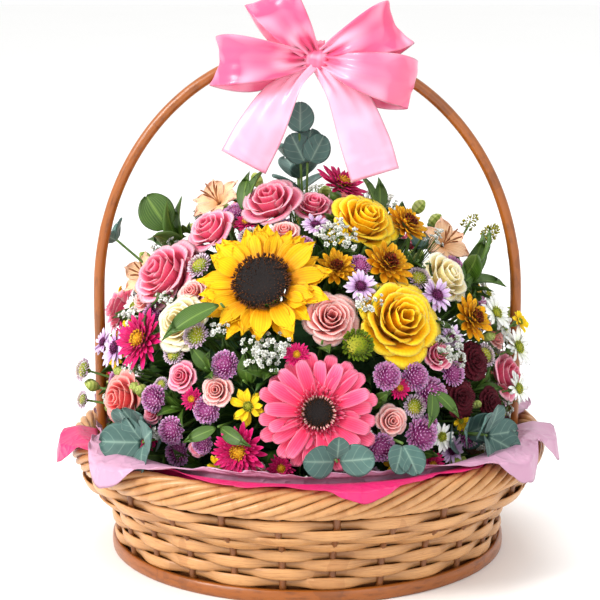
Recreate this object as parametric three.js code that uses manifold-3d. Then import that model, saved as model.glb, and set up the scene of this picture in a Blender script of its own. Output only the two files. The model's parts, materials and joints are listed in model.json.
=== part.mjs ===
// Flower basket arrangement: a round willow basket with a bent handle, a satin bow, paper
// collars and a mound of cut flowers standing in wet foam.
// Millimetres, +Z up, front towards -Y, origin under the middle of the flat base.
import * as THREE from 'three';
import { mergeVertices } from 'three/addons/utils/BufferGeometryUtils.js';
import Module from 'manifold-3d';

// Clearance between pieces that touch
const GAP = 0.35;
// Detail finer than this is left by joining, and is dropped
const SLIVER = 0.12;

// Basket
const HOOP_INNER = 158.4;
const HOOP_OUTER = 163;
const HOOP_HEIGHT = 11;
const BASE_RADIUS = 151.6;
const BASE_THICKNESS = 7;
const STAKES = 26;
const WEAVE_ROWS = 8;
const ROW_PITCH = 7.7;
const WEAVE_RELIEF = 2.2;
const WALL_FOOT = 0.4;
const WALL_WEAVE_START = 12;
const WALL_THICKNESS = 5;
const WALL_TOP = WALL_WEAVE_START + WEAVE_ROWS * ROW_PITCH;
// Outer radius of the woven wall at a few heights; it flares above the belly
const WALL_PROFILE = [[0, 157.6], [11.5, 157.6], [12, 160], [44, 164], [50, 171], [56, 179], [62, 185], [76, 187]];

// Plaited border roll
const BORDER_RADIUS = 186.5;
const BORDER_Z = 88;
const BORDER_HALF_WIDTH = 10.4;
const BORDER_HALF_HEIGHT = 13;
const BORDER_RELIEF = 1;

// Bent handle: a half ellipse over two legs that go down inside the rim
const HANDLE_RADIUS = 4.7;
const HANDLE_SPAN = 171;
const HANDLE_SPRING_Z = 209;
const HANDLE_RISE = 201;
const HANDLE_APEX = HANDLE_SPRING_Z + HANDLE_RISE;
const HANDLE_STEPS = 42;
const HANDLE_LEG = [[148, 7.5], [150, 30], [153, 50], [163.5, 74], [170, 98], [171, 130]];

// Liner tray and foam
const LINER_OUTER = 144;
const LINER_WALL = 1.6;
const LINER_HEIGHT = 62;
const FOAM_BOTTOM = BASE_THICKNESS + GAP + LINER_WALL + GAP;
// Foam bricks carved to a low dome: height, half width, half depth and corner cut at each level
const FOAM_LEVELS = [[FOAM_BOTTOM, 116, 106, 42], [110, 112, 102, 40], [160, 88, 80, 34], [194, 50, 44, 20]];

// Mound of flowers: every stem points at one focus inside the foam
const FOCUS = new THREE.Vector3(0, 8, 95);
const STEM_END = 80;
const SPRAY_FORK = 126;
const STEM_SIDES = 4;
// How far each whorl of rays stands above the one outside it, as a share of the radius
const WHORL_LIFT = 0.09;
// A big disc's share of its head's radius, and how deep it is set in
const SUNFLOWER_DISC = { disc: 0.42, recess: 3 };
const GERBERA_DISC = { disc: 0.27, recess: 2.5 };
// How far a head turns with its stem from the front; a lily looks further forward
const HEAD_TURN = 0.85;
const LILY_TURN = 0.4;

// Paper collars, tucked inside the rim
const PAPER_THICKNESS = 0.8;
const PAPER_COLUMNS = 20;
const PAPER_TUCK = 66;
// A fold that reaches this radius, beyond the border, hangs down
const PAPER_CLEAR = 197;
// Radius inside the rim, height of the crest, azimuths, and each corner's azimuth, fold and width
const PINK_PAPER = {
  radius: 172, crest: 100.2, span: [-84, 84], corners: [[-76, 30, 26], [-14, 20, 24], [12, 26, 30], [40, 16, 16]],
};
const LILAC_PAPER = {
  radius: 168, crest: 102.6, span: [-84, 84], corners: [[-50, 34, 24], [56, 34, 26], [76, 34, 24]],
};
const BACK_PAPER = {
  radius: 173.4, crest: 100.2, span: [96, 264], corners: [[116, 24, 26], [152, 28, 24], [196, 30, 30], [238, 24, 24]],
};

// Ribbon
const RIBBON_HALF = 20;
const RIBBON_THICKNESS = 1;
// How far a loop's back half hangs below its front half
const LOOP_DROP = 12;
const KNOT = new THREE.Vector3(7, -11, 403);

const wasm = await Module();
wasm.setup();

const arrangement = new THREE.Group();

function point(x, y, z) {
  return new THREE.Vector3(x, y, z);
}

function polar(radius, angle, z) {
  return new THREE.Vector3(radius * Math.cos(angle), radius * Math.sin(angle), z);
}

// A solid from a closed geometry
function solid(geometry) {
  const bare = geometry.clone();
  bare.deleteAttribute('normal');
  bare.deleteAttribute('uv');
  const merged = mergeVertices(bare, 1e-3);
  const mesh = new wasm.Mesh({
    numProp: 3,
    vertProperties: new Float32Array(merged.attributes.position.array),
    triVerts: new Uint32Array(merged.index.array),
  });
  return new wasm.Manifold(mesh);
}

// The geometry of a solid, without the slivers that joining leaves
function surface(body) {
  const mesh = body.simplify(SLIVER).getMesh();
  const geometry = new THREE.BufferGeometry();
  geometry.setAttribute('position', new THREE.BufferAttribute(mesh.vertProperties, 3));
  geometry.setIndex(new THREE.BufferAttribute(mesh.triVerts, 1));
  geometry.computeVertexNormals();
  return geometry;
}

function fuse(bodies) {
  return bodies.reduce((sum, body) => sum.add(body));
}

// A closed skin over a stack of rings, which run anticlockwise seen from the end they rise to.
// The two ends close in a point each, or the last ring joins the first. A thin blade, whose
// ring runs out along its front and home along its back, has both split alike, and without end
// points it closes in a strip across its thickness.
function skin(rings, first, last, blade = false) {
  const columns = rings[0].length;
  const positions = rings.flat().flatMap((p) => [p.x, p.y, p.z]);
  const index = [];
  const bands = first || blade ? rings.length - 1 : rings.length;
  for (let i = 0; i < bands; i += 1) {
    const low = i * columns;
    const high = ((i + 1) % rings.length) * columns;
    for (let j = 0; j < columns; j += 1) {
      const k = (j + 1) % columns;
      if (blade && j >= columns / 2) {
        index.push(low + j, low + k, high + j);
        index.push(low + k, high + k, high + j);
      } else {
        index.push(low + j, low + k, high + k);
        index.push(low + j, high + k, high + j);
      }
    }
  }
  if (first) {
    const start = rings.length * columns;
    const top = (rings.length - 1) * columns;
    positions.push(first.x, first.y, first.z, last.x, last.y, last.z);
    for (let j = 0; j < columns; j += 1) {
      const k = (j + 1) % columns;
      index.push(start, k, j);
      index.push(start + 1, top + j, top + k);
    }
  } else if (blade) {
    const top = (rings.length - 1) * columns;
    for (let j = 0; j < columns / 2 - 1; j += 1) {
      const [k, l, m] = [j + 1, columns - 2 - j, columns - 1 - j];
      index.push(j, l, k, j, m, l);
      index.push(top + j, top + k, top + l, top + j, top + l, top + m);
    }
  }
  const geometry = new THREE.BufferGeometry();
  geometry.setAttribute('position', new THREE.Float32BufferAttribute(positions, 3));
  geometry.setIndex(index);
  return solid(geometry);
}

function ring(columns, place) {
  return Array.from({ length: columns }, (_, j) => place(j, (2 * Math.PI * j) / columns));
}

// Moves a body made round +Z to a place, with +Z turned to a direction
function stand(body, place, direction, spin = 0) {
  const turn = new THREE.Quaternion().setFromUnitVectors(point(0, 0, 1), direction.clone().normalize());
  const roll = new THREE.Quaternion().setFromAxisAngle(point(0, 0, 1), spin);
  const matrix = new THREE.Matrix4().compose(place, turn.multiply(roll), point(1, 1, 1));
  return body.transform(matrix.elements);
}

function polygon(radius, sides) {
  return new THREE.Shape(ring(sides, (j, angle) => (
    new THREE.Vector2(radius * Math.cos(angle), radius * Math.sin(angle)))));
}

// A straight rod between two points
function rod(from, to, radius, sides = STEM_SIDES) {
  const section = polygon(radius, sides);
  const shape = new THREE.ExtrudeGeometry(section, { depth: from.distanceTo(to), bevelEnabled: false });
  return stand(solid(shape), from, to.clone().sub(from));
}

// Direction from the focus, by azimuth from the front towards +X and by elevation
function toward(azimuth, elevation) {
  const a = THREE.MathUtils.degToRad(azimuth);
  const e = THREE.MathUtils.degToRad(elevation);
  return point(Math.sin(a) * Math.cos(e), -Math.cos(a) * Math.cos(e), Math.sin(e));
}

function onMound(azimuth, elevation, reach) {
  return toward(azimuth, elevation).multiplyScalar(reach).add(FOCUS);
}

// Heads, each round +Z with its petals' roots near the origin

// Pointed rays in whorls round a raised disc. A whorl's rays stand over the gaps of the one
// below it.
function rayHead({ radius, rays, whorls = 1, disc = 0.25, notch = 0.5, depth = 0.35, rise = 0.1, dome = 0.2,
  recess = 0 }) {
  const columns = rays * 2;
  const rings = [];
  const lift = radius * WHORL_LIFT;
  for (let k = 0; k < whorls; k += 1) {
    const reach = radius * (1 - 0.13 * k);
    const tipZ = radius * (rise + 0.16 * k);
    rings.push(ring(columns, (j, angle) => {
      const wave = (j + k + 1) % 2;
      return polar(reach * (notch + (1 - notch) * wave), angle, tipZ * (0.4 + 0.6 * wave) + k * lift * 0.3);
    }));
    rings.push(ring(columns, (j, angle) => polar(radius * disc * 1.06, angle, (k + 1) * lift)));
  }
  const top = whorls * lift;
  if (recess > 0) {
    rings.push(ring(columns, (j, angle) => polar(radius * disc, angle, top - recess)));
    return skin(rings, point(0, 0, -radius * depth), point(0, 0, top - recess));
  }
  return skin(rings, point(0, 0, -radius * depth), point(0, 0, top + radius * dome));
}

// Petals in cupped layers: each layer's rim is scalloped, stands higher than the one outside it
// and falls inside to a valley
function roseHead({ radius, layers = 3, fine = false }) {
  const petals = 5;
  const step = fine ? 3 : 2;
  const columns = petals * step;
  const rings = [ring(columns, (j, angle) => polar(radius * 0.45, angle, -radius * 0.42))];
  for (let k = 0; k < layers; k += 1) {
    const share = k / layers;
    const rim = radius * (1 - 0.86 * share);
    const height = radius * (0.02 + 0.75 * Math.sqrt(share));
    rings.push(ring(columns, (j, angle) => {
      const place = (j + k) % step;
      const wave = fine ? [1, 0.8, 0][place] : [1, 0][place];
      return polar(rim * (0.88 + 0.12 * wave), angle, height - radius * 0.1 * (1 - wave));
    }));
    if (k < layers - 1) {
      const valley = radius * (1 - 0.86 * (k + 0.62) / layers) * 0.9;
      rings.push(ring(columns, (j, angle) => polar(valley, angle, height - radius * 0.12)));
    }
  }
  return skin(rings, point(0, 0, -radius * 0.6), point(0, 0, radius * 0.5));
}

// Ruffled layers, whose rims zigzag
function carnationHead(radius) {
  const columns = 10;
  const rings = [ring(columns, (j, angle) => polar(radius * 0.3, angle, -radius * 0.5))];
  [[1, 0.05], [0.62, 0.3], [0.3, 0.42]].forEach(([rim, height], k) => {
    rings.push(ring(columns, (j, angle) => {
      const wave = (j + k) % 2;
      return polar(radius * rim * (1 - 0.16 * wave), angle, radius * (height + 0.14 * wave));
    }));
    if (k < 2) {
      rings.push(ring(columns, (j, angle) => polar(radius * rim * 0.62, angle, radius * (height - 0.04))));
    }
  });
  return skin(rings, point(0, 0, -radius * 1.1), point(0, 0, radius * 0.4));
}

// A dense round head of short florets, as a ball whose surface stands out and falls back
function pomponHead(radius, columns = 8, flat = 0.7) {
  const levels = [-48, 0, 42];
  const rings = levels.map((level, i) => ring(columns, (j, angle) => {
    const lift = (i + j) % 2 ? 1 : 0.84;
    const e = THREE.MathUtils.degToRad(level);
    return polar(radius * lift * Math.cos(e), angle, radius * lift * flat * Math.sin(e));
  }));
  return skin(rings, point(0, 0, -radius * flat), point(0, 0, radius * flat * 0.9));
}

// Six broad petals on a funnel
function lilyHead(radius) {
  const columns = 18;
  const rim = ring(columns, (j, angle) => {
    const wave = [1, 0.85, 0][j % 3];
    const reach = j % 6 < 3 ? 1 : 0.9;
    return polar(radius * reach * (0.42 + 0.58 * wave), angle, radius * (0.12 + 0.3 * wave));
  });
  const throat = ring(columns, (j, angle) => polar(radius * 0.2, angle, -radius * 0.08));
  return skin([rim, throat], point(0, 0, -radius * 0.75), point(0, 0, radius * 0.16));
}

// A pointed bud
function budHead(radius, length = radius * 3) {
  const rings = [[0.75, -0.1], [1, 0.25]].map(([width, z]) => (
    ring(5, (j, angle) => polar(radius * width, angle, length * z))));
  return skin(rings, point(0, 0, -length * 0.35), point(0, 0, length * 0.65));
}

// A thin leaf with a lens section from its root at the origin along +Z, its face towards -Y
function leafBlade({ length, width, arch = 0, round = false, thickness = 1.1 }) {
  const marks = round ? [0.3, 0.8] : [0.28, 0.66];
  const rings = marks.map((t) => {
    const half = (width / 2) * (t < 0.5 ? 0.95 : 0.85);
    const bow = -arch * Math.sin(Math.PI * t);
    const z = length * t;
    const edge = bow + half * 0.2;
    return [point(half, edge, z), point(0, bow + thickness / 2, z), point(-half, edge, z),
      point(0, bow - thickness / 2, z)];
  });
  return skin(rings, point(0, 0, -2), point(0, 0, length), true);
}

// Places a leaf at a root, along a direction, its face turned to a side
function setLeaf(leaf, root, direction, face) {
  const z = direction.clone().normalize();
  const x = new THREE.Vector3().crossVectors(face.clone().negate(), z).normalize();
  const y = new THREE.Vector3().crossVectors(z, x);
  const matrix = new THREE.Matrix4().makeBasis(x, y, z).setPosition(root);
  return leaf.transform(matrix.elements);
}

const HEADS = {
  sunflower: (r) => rayHead({ radius: r, rays: 18, whorls: 2, notch: 0.76, depth: 0.3, ...SUNFLOWER_DISC }),
  gerbera: (r) => rayHead({ radius: r, rays: 17, whorls: 2, notch: 0.74, depth: 0.3, ...GERBERA_DISC }),
  rose: (r) => roseHead({ radius: r, layers: 4, fine: true }),
  sprayRose: (r) => roseHead({ radius: r }),
  aster: (r) => rayHead({ radius: r, rays: 12, whorls: 2, disc: 0.24, notch: 0.7 }),
  bronze: (r) => rayHead({ radius: r, rays: 10, disc: 0.32, notch: 0.74, rise: 0.16 }),
  daisy: (r) => rayHead({ radius: r, rays: 9, disc: 0.26, notch: 0.62 }),
  pompon: (r) => pomponHead(r),
  button: (r) => pomponHead(r, 8, 0.6),
  carnation: (r) => carnationHead(r),
  lily: (r) => lilyHead(r),
  bud: (r) => budHead(r),
};

// The stems that stand in the foam, as [end, towards, radius], for cutting their holes
const stems = [];

// The way a head looks: a little flatter and a little further to the front than its stem
function facing(azimuth, elevation, share = HEAD_TURN) {
  const turned = Math.abs(azimuth) > 100 ? azimuth : azimuth * share;
  return toward(turned, elevation * 0.68 + 3);
}

// One stem from the foam to a place on the mound
function mainStem(azimuth, elevation, reach, radius) {
  stems.push([azimuth, elevation, radius]);
  return rod(onMound(azimuth, elevation, STEM_END), onMound(azimuth, elevation, reach), radius);
}

// A single bloom on its stem
function bloom({ kind, at: [azimuth, elevation, reach], radius, stem = 2.4, spin = 0 }) {
  const head = stand(HEADS[kind](radius), onMound(azimuth, elevation, reach), facing(azimuth, elevation), spin);
  return head.add(mainStem(azimuth, elevation, reach, stem));
}

// Several heads on branches that fork from one stem just above the foam
function spray({ stem: [azimuth, elevation, thickness = 1.9], heads }) {
  const fork = onMound(azimuth, elevation, SPRAY_FORK);
  const bodies = [mainStem(azimuth, elevation, SPRAY_FORK + 1, thickness)];
  heads.forEach(([kind, a, e, reach, radius], i) => {
    const place = onMound(a, e, reach);
    const look = facing(a, e, kind === 'lily' ? LILY_TURN : HEAD_TURN);
    bodies.push(stand(HEADS[kind](radius), place, look, i));
    bodies.push(rod(fork, place, thickness * 0.75, 3));
  });
  return fuse(bodies);
}

// Fine twigs that end in small round florets, spread by the golden angle
function mist({ at: [azimuth, elevation, reach], spread, count, floret = 3 }) {
  const axis = toward(azimuth, elevation);
  const side = new THREE.Vector3().crossVectors(axis, point(0, 0, 1)).normalize();
  const up = new THREE.Vector3().crossVectors(side, axis);
  const fork = onMound(azimuth, elevation, reach - spread * 1.6);
  const bodies = [mainStem(azimuth, elevation, reach - spread * 1.6 + 1, 1.5)];
  for (let i = 0; i < count; i += 1) {
    const r = spread * Math.sqrt((i + 0.4) / count);
    const turn = i * 2.4;
    const place = onMound(azimuth, elevation, reach + (i % 3) * 4 - r * 0.25);
    place.addScaledVector(side, r * Math.cos(turn)).addScaledVector(up, r * Math.sin(turn));
    bodies.push(rod(fork, place, 0.7, 3));
    const ball = new THREE.OctahedronGeometry(floret, 0);
    bodies.push(solid(ball.translate(place.x, place.y, place.z)));
  }
  return fuse(bodies);
}

// A leafy stem: leaves in pairs or singly along the outer part of a straight stem
function leafyStem({ at: [azimuth, elevation, reach], leaves, stem = 1.6 }) {
  const axis = toward(azimuth, elevation);
  const side = new THREE.Vector3().crossVectors(axis, point(0, 0, 1)).normalize();
  const up = new THREE.Vector3().crossVectors(side, axis);
  const bodies = [mainStem(azimuth, elevation, reach, stem)];
  leaves.forEach(({ from, lean, turn, length, width, round = false, arch = 2 }) => {
    const around = THREE.MathUtils.degToRad(turn);
    const out = side.clone().multiplyScalar(Math.cos(around)).addScaledVector(up, Math.sin(around));
    const tilt = THREE.MathUtils.degToRad(lean);
    const direction = axis.clone().multiplyScalar(Math.cos(tilt)).addScaledVector(out, Math.sin(tilt));
    const face = axis.clone().multiplyScalar(Math.sin(tilt)).addScaledVector(out, -Math.cos(tilt));
    const blade = leafBlade({ length, width, round, arch });
    bodies.push(setLeaf(blade, onMound(azimuth, elevation, from), direction, face));
  });
  return fuse(bodies);
}

function add(name, body, colour, roughness = 0.7, metalness = 0) {
  const material = new THREE.MeshStandardMaterial({ color: colour, roughness, metalness });
  const mesh = new THREE.Mesh(surface(body), material);
  mesh.name = name;
  arrangement.add(mesh);
}

function lathe(points, sides) {
  const shape = new THREE.LatheGeometry(points.map(([r, z]) => new THREE.Vector2(r, z)), sides);
  shape.rotateX(Math.PI / 2);
  return solid(shape);
}

function between(table, at) {
  const i = Math.max(1, table.findIndex(([key]) => key >= at));
  const [x0, y0] = table[i - 1];
  const [x1, y1] = table[i];
  return y0 + ((y1 - y0) * (at - x0)) / (x1 - x0);
}

// Basket

function wallBody() {
  const columns = STAKES * 2;
  const rings = [];
  const inner = (z) => ring(columns, (j, angle) => polar(between(WALL_PROFILE, z) - WALL_THICKNESS, angle, z));
  const outer = (z) => ring(columns, (j, angle) => polar(between(WALL_PROFILE, z), angle, z));
  rings.push(inner(WALL_TOP), inner(44), inner(WALL_FOOT), outer(WALL_FOOT), outer(11.5));
  for (let row = 0; row < WEAVE_ROWS; row += 1) {
    const z = WALL_WEAVE_START + (row + 0.5) * ROW_PITCH;
    rings.push(ring(columns, (j, angle) => {
      const over = j % 2 ? 0 : Math.cos(Math.PI * (j / 2 + row));
      return polar(between(WALL_PROFILE, z) + WEAVE_RELIEF * over, angle, z);
    }));
  }
  rings.push(outer(WALL_TOP));
  return skin(rings);
}

function borderBody() {
  const columns = 46;
  const around = 6;
  const rings = ring(columns, (i, angle) => ring(around, (j, step) => {
    const turn = step + Math.PI / 6;
    const relief = BORDER_RELIEF * ((i + j) % 2 ? 1 : -1);
    const r = BORDER_RADIUS + (BORDER_HALF_WIDTH + relief) * Math.cos(turn);
    return polar(r, -angle, BORDER_Z + (BORDER_HALF_HEIGHT + relief) * Math.sin(turn));
  }));
  return skin(rings);
}

function handlePath() {
  const right = HANDLE_LEG.map(([x, z]) => point(x, 0, z));
  const arch = [];
  for (let i = 0; i <= 24; i += 1) {
    const turn = (Math.PI * i) / 24;
    arch.push(point(HANDLE_SPAN * Math.cos(turn), 0, HANDLE_SPRING_Z + HANDLE_RISE * Math.sin(turn)));
  }
  const left = right.map((p) => point(-p.x, 0, p.z)).reverse();
  const knee = (side) => point(side * HANDLE_SPAN, 0, 170);
  return new THREE.CatmullRomCurve3([...right, knee(1), ...arch, knee(-1), ...left]);
}

function handleBody(radius) {
  const settings = { steps: HANDLE_STEPS, bevelEnabled: false, extrudePath: handlePath() };
  return solid(new THREE.ExtrudeGeometry(polygon(radius, 5), settings));
}

function addBasket() {
  const plate = [[0, 0], [BASE_RADIUS, 0], [BASE_RADIUS, BASE_THICKNESS], [0, BASE_THICKNESS]];
  add('basket_base', lathe(plate, 30), 0xc08a55, 0.8);
  const hoop = [[HOOP_INNER, 0], [HOOP_OUTER, 1], [HOOP_OUTER, HOOP_HEIGHT - 1], [HOOP_INNER, HOOP_HEIGHT],
    [HOOP_INNER, 0]];
  add('foot_hoop', lathe(hoop, 32), 0xb5622e, 0.45);
  add('basket_wall', wallBody(), 0xe6c08f, 0.7);
  add('rim_border', borderBody(), 0xe9c79a, 0.65);
  add('handle', handleBody(HANDLE_RADIUS), 0xc9783c, 0.45);
  const floor = BASE_THICKNESS + GAP;
  const tray = [[0, floor], [LINER_OUTER - 6, floor], [LINER_OUTER, LINER_HEIGHT],
    [LINER_OUTER - LINER_WALL, LINER_HEIGHT], [LINER_OUTER - 6 - LINER_WALL, floor + LINER_WALL],
    [0, floor + LINER_WALL]];
  add('liner_tray', lathe(tray, 20), 0x2f4a33, 0.4);
}

// Foam with one plain hole for each stem

function foamLevel([z, halfX, halfY, cut]) {
  const corners = [[halfX, -halfY + cut], [halfX, halfY - cut], [halfX - cut, halfY], [-halfX + cut, halfY],
    [-halfX, halfY - cut], [-halfX, -halfY + cut], [-halfX + cut, -halfY], [halfX - cut, -halfY]];
  return corners.map(([x, y]) => point(x, y, z));
}

function foamBody() {
  const levels = FOAM_LEVELS.map(foamLevel);
  const block = skin(levels, point(0, 0, FOAM_LEVELS[0][0]), point(0, 0, FOAM_LEVELS[3][0]));
  const holes = stems.map(([azimuth, elevation, radius]) => rod(onMound(azimuth, elevation, STEM_END - 0.6),
    onMound(azimuth, elevation, 190), radius + 0.5, STEM_SIDES));
  return holes.reduce((body, hole) => body.subtract(hole), block);
}

// Paper collars: thin bands that stand inside the rim and fold outwards over its border, further
// at their corners. Each runs over a span of azimuths between the legs of the handle.

// The line of a collar's section, from its tuck to its free edge, by radius and height
function paperLevels(radius, crest, fold) {
  const droop = Math.max(0, radius + fold - PAPER_CLEAR);
  const bend = [radius + 4 + fold * 0.45, crest + 1.5 + fold * 0.06];
  const brink = [radius + 3 + fold * 0.95, crest + 2.4 - droop * 0.6];
  const edge = [radius + 4 + fold, crest + 2.6 - droop * 2.6];
  return [[radius, PAPER_TUCK], [radius + 2, crest], bend, brink, edge];
}

function paperBody({ radius, crest, span: [start, end], corners, columns = PAPER_COLUMNS }) {
  const half = PAPER_THICKNESS / 2;
  const sections = [];
  for (let i = 0; i < columns; i += 1) {
    const azimuth = end + ((start - end) * i) / (columns - 1);
    const reach = ([at, fold, width]) => fold * (1 - Math.abs(azimuth - at) / width);
    const out = toward(azimuth, 0);
    const levels = paperLevels(radius, crest, Math.max(2, ...corners.map(reach)));
    const side = (offset) => levels.map(([r, z], k) => {
      const [backR, backZ] = levels[Math.max(k - 1, 0)];
      const [aheadR, aheadZ] = levels[Math.min(k + 1, levels.length - 1)];
      const share = offset / Math.hypot(aheadR - backR, aheadZ - backZ);
      return out.clone().multiplyScalar(r + share * (aheadZ - backZ)).setZ(z - share * (aheadR - backR));
    });
    sections.push([...side(half), ...side(-half).reverse()]);
  }
  return skin(sections, null, null, true);
}

// Ribbon bow

// A strip of ribbon along a line of [place, half width, turn of the width from upright]
function ribbon(stations) {
  const places = stations.map(([place]) => place);
  const rings = stations.map(([place, half, lean], i) => {
    const ahead = places[Math.min(i + 1, places.length - 1)].clone().sub(places[Math.max(i - 1, 0)]).normalize();
    const tilt = THREE.MathUtils.degToRad(lean);
    const hint = point(Math.sin(tilt), 0, Math.cos(tilt));
    const width = hint.addScaledVector(ahead, -hint.dot(ahead)).normalize();
    const normal = new THREE.Vector3().crossVectors(ahead, width).multiplyScalar(RIBBON_THICKNESS / 2);
    const across = width.clone().multiplyScalar(half);
    const out = (offset) => place.clone().add(offset);
    return [out(across), out(normal), place.clone().sub(across), place.clone().sub(normal)];
  });
  return skin(rings, places[0], places[places.length - 1], true);
}

function bowBody() {
  const at = (x, y, z) => KNOT.clone().add(point(x, y, z));
  const loop = (x, z, lean, depth) => ribbon([
    [at(x * 0.07, -2, z * 0.07), 6, lean],
    [at(x * 0.4, -depth, z * 0.4), RIBBON_HALF * 0.72, lean],
    [at(x * 0.82, -depth * 0.9, z * 0.82), RIBBON_HALF, lean],
    [at(x, 0, z - LOOP_DROP * 0.4), RIBBON_HALF * 0.95, lean],
    [at(x * 0.6, depth * 0.35, z * 0.6 - LOOP_DROP), RIBBON_HALF * 0.8, lean],
    [at(x * 0.07, 2, z * 0.07), 5, lean],
  ]);
  const knot = solid(new THREE.SphereGeometry(1, 8, 6).scale(11, 8, 9).translate(KNOT.x, KNOT.y, KNOT.z));
  const collar = solid(new THREE.LatheGeometry([[5.2, -7], [6.8, -7], [6.8, 7], [5.2, 7], [5.2, -7]]
    .map(([r, z]) => new THREE.Vector2(r, z)), 10).rotateZ(Math.PI / 2).translate(KNOT.x, 0, HANDLE_APEX));
  const leftTail = ribbon([[at(0, 0, 0), 6, 60], [at(-26, -10, -24), 14, 60], [at(-44, -17, -54), 19, 70],
    [at(-58, -20, -80), RIBBON_HALF, 75]]);
  const rightTail = ribbon([[at(0, 0, 0), 6, 110], [at(24, -9, -28), 16, 115], [at(38, -18, -62), 20, 110],
    [at(47, -24, -90), RIBBON_HALF, 105]]);
  const loops = [loop(-40, 56, 55, 20), loop(-80, 2, 5, 22), loop(66, 32, 150, 20), loop(74, -16, 18, 22)];
  return fuse([knot, collar, ...loops, leftTail, rightTail]).subtract(handleBody(HANDLE_RADIUS + 0.45));
}

function addTrim() {
  add('pink_paper', paperBody(PINK_PAPER), 0xe0206e, 0.6);
  add('lilac_paper', paperBody(LILAC_PAPER), 0xe4bed6, 0.5);
  add('lilac_paper_back', paperBody(BACK_PAPER), 0xe4bed6, 0.5);
  add('satin_bow', bowBody(), 0xfa8caf, 0.35);
}

// Flowers, by colour and kind, each as [azimuth, elevation, reach] from the focus

// The disc of florets that sits in a head of two whorls, its top raised in a ring
function addDisc(name, { at: [azimuth, elevation, reach], radius }, { disc, recess }, colour) {
  const look = facing(azimuth, elevation);
  const wide = radius * disc - 0.6;
  const level = (share, other, height, low = height) => ring(14, (j, angle) => (
    polar(wide * (j % 2 ? share : other), angle, j % 2 ? low : height)));
  const rings = [level(1, 1, 0), level(0.97, 0.97, 2.6), level(0.72, 0.62, 5), level(0.3, 0.38, 5.4, 4)];
  const body = skin(rings, point(0, 0, 0), point(0, 0, 3.4));
  const place = onMound(azimuth, elevation, reach).addScaledVector(look, 2 * radius * WHORL_LIFT - recess + GAP);
  add(name, stand(body, place, look), colour, 0.9);
}

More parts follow.
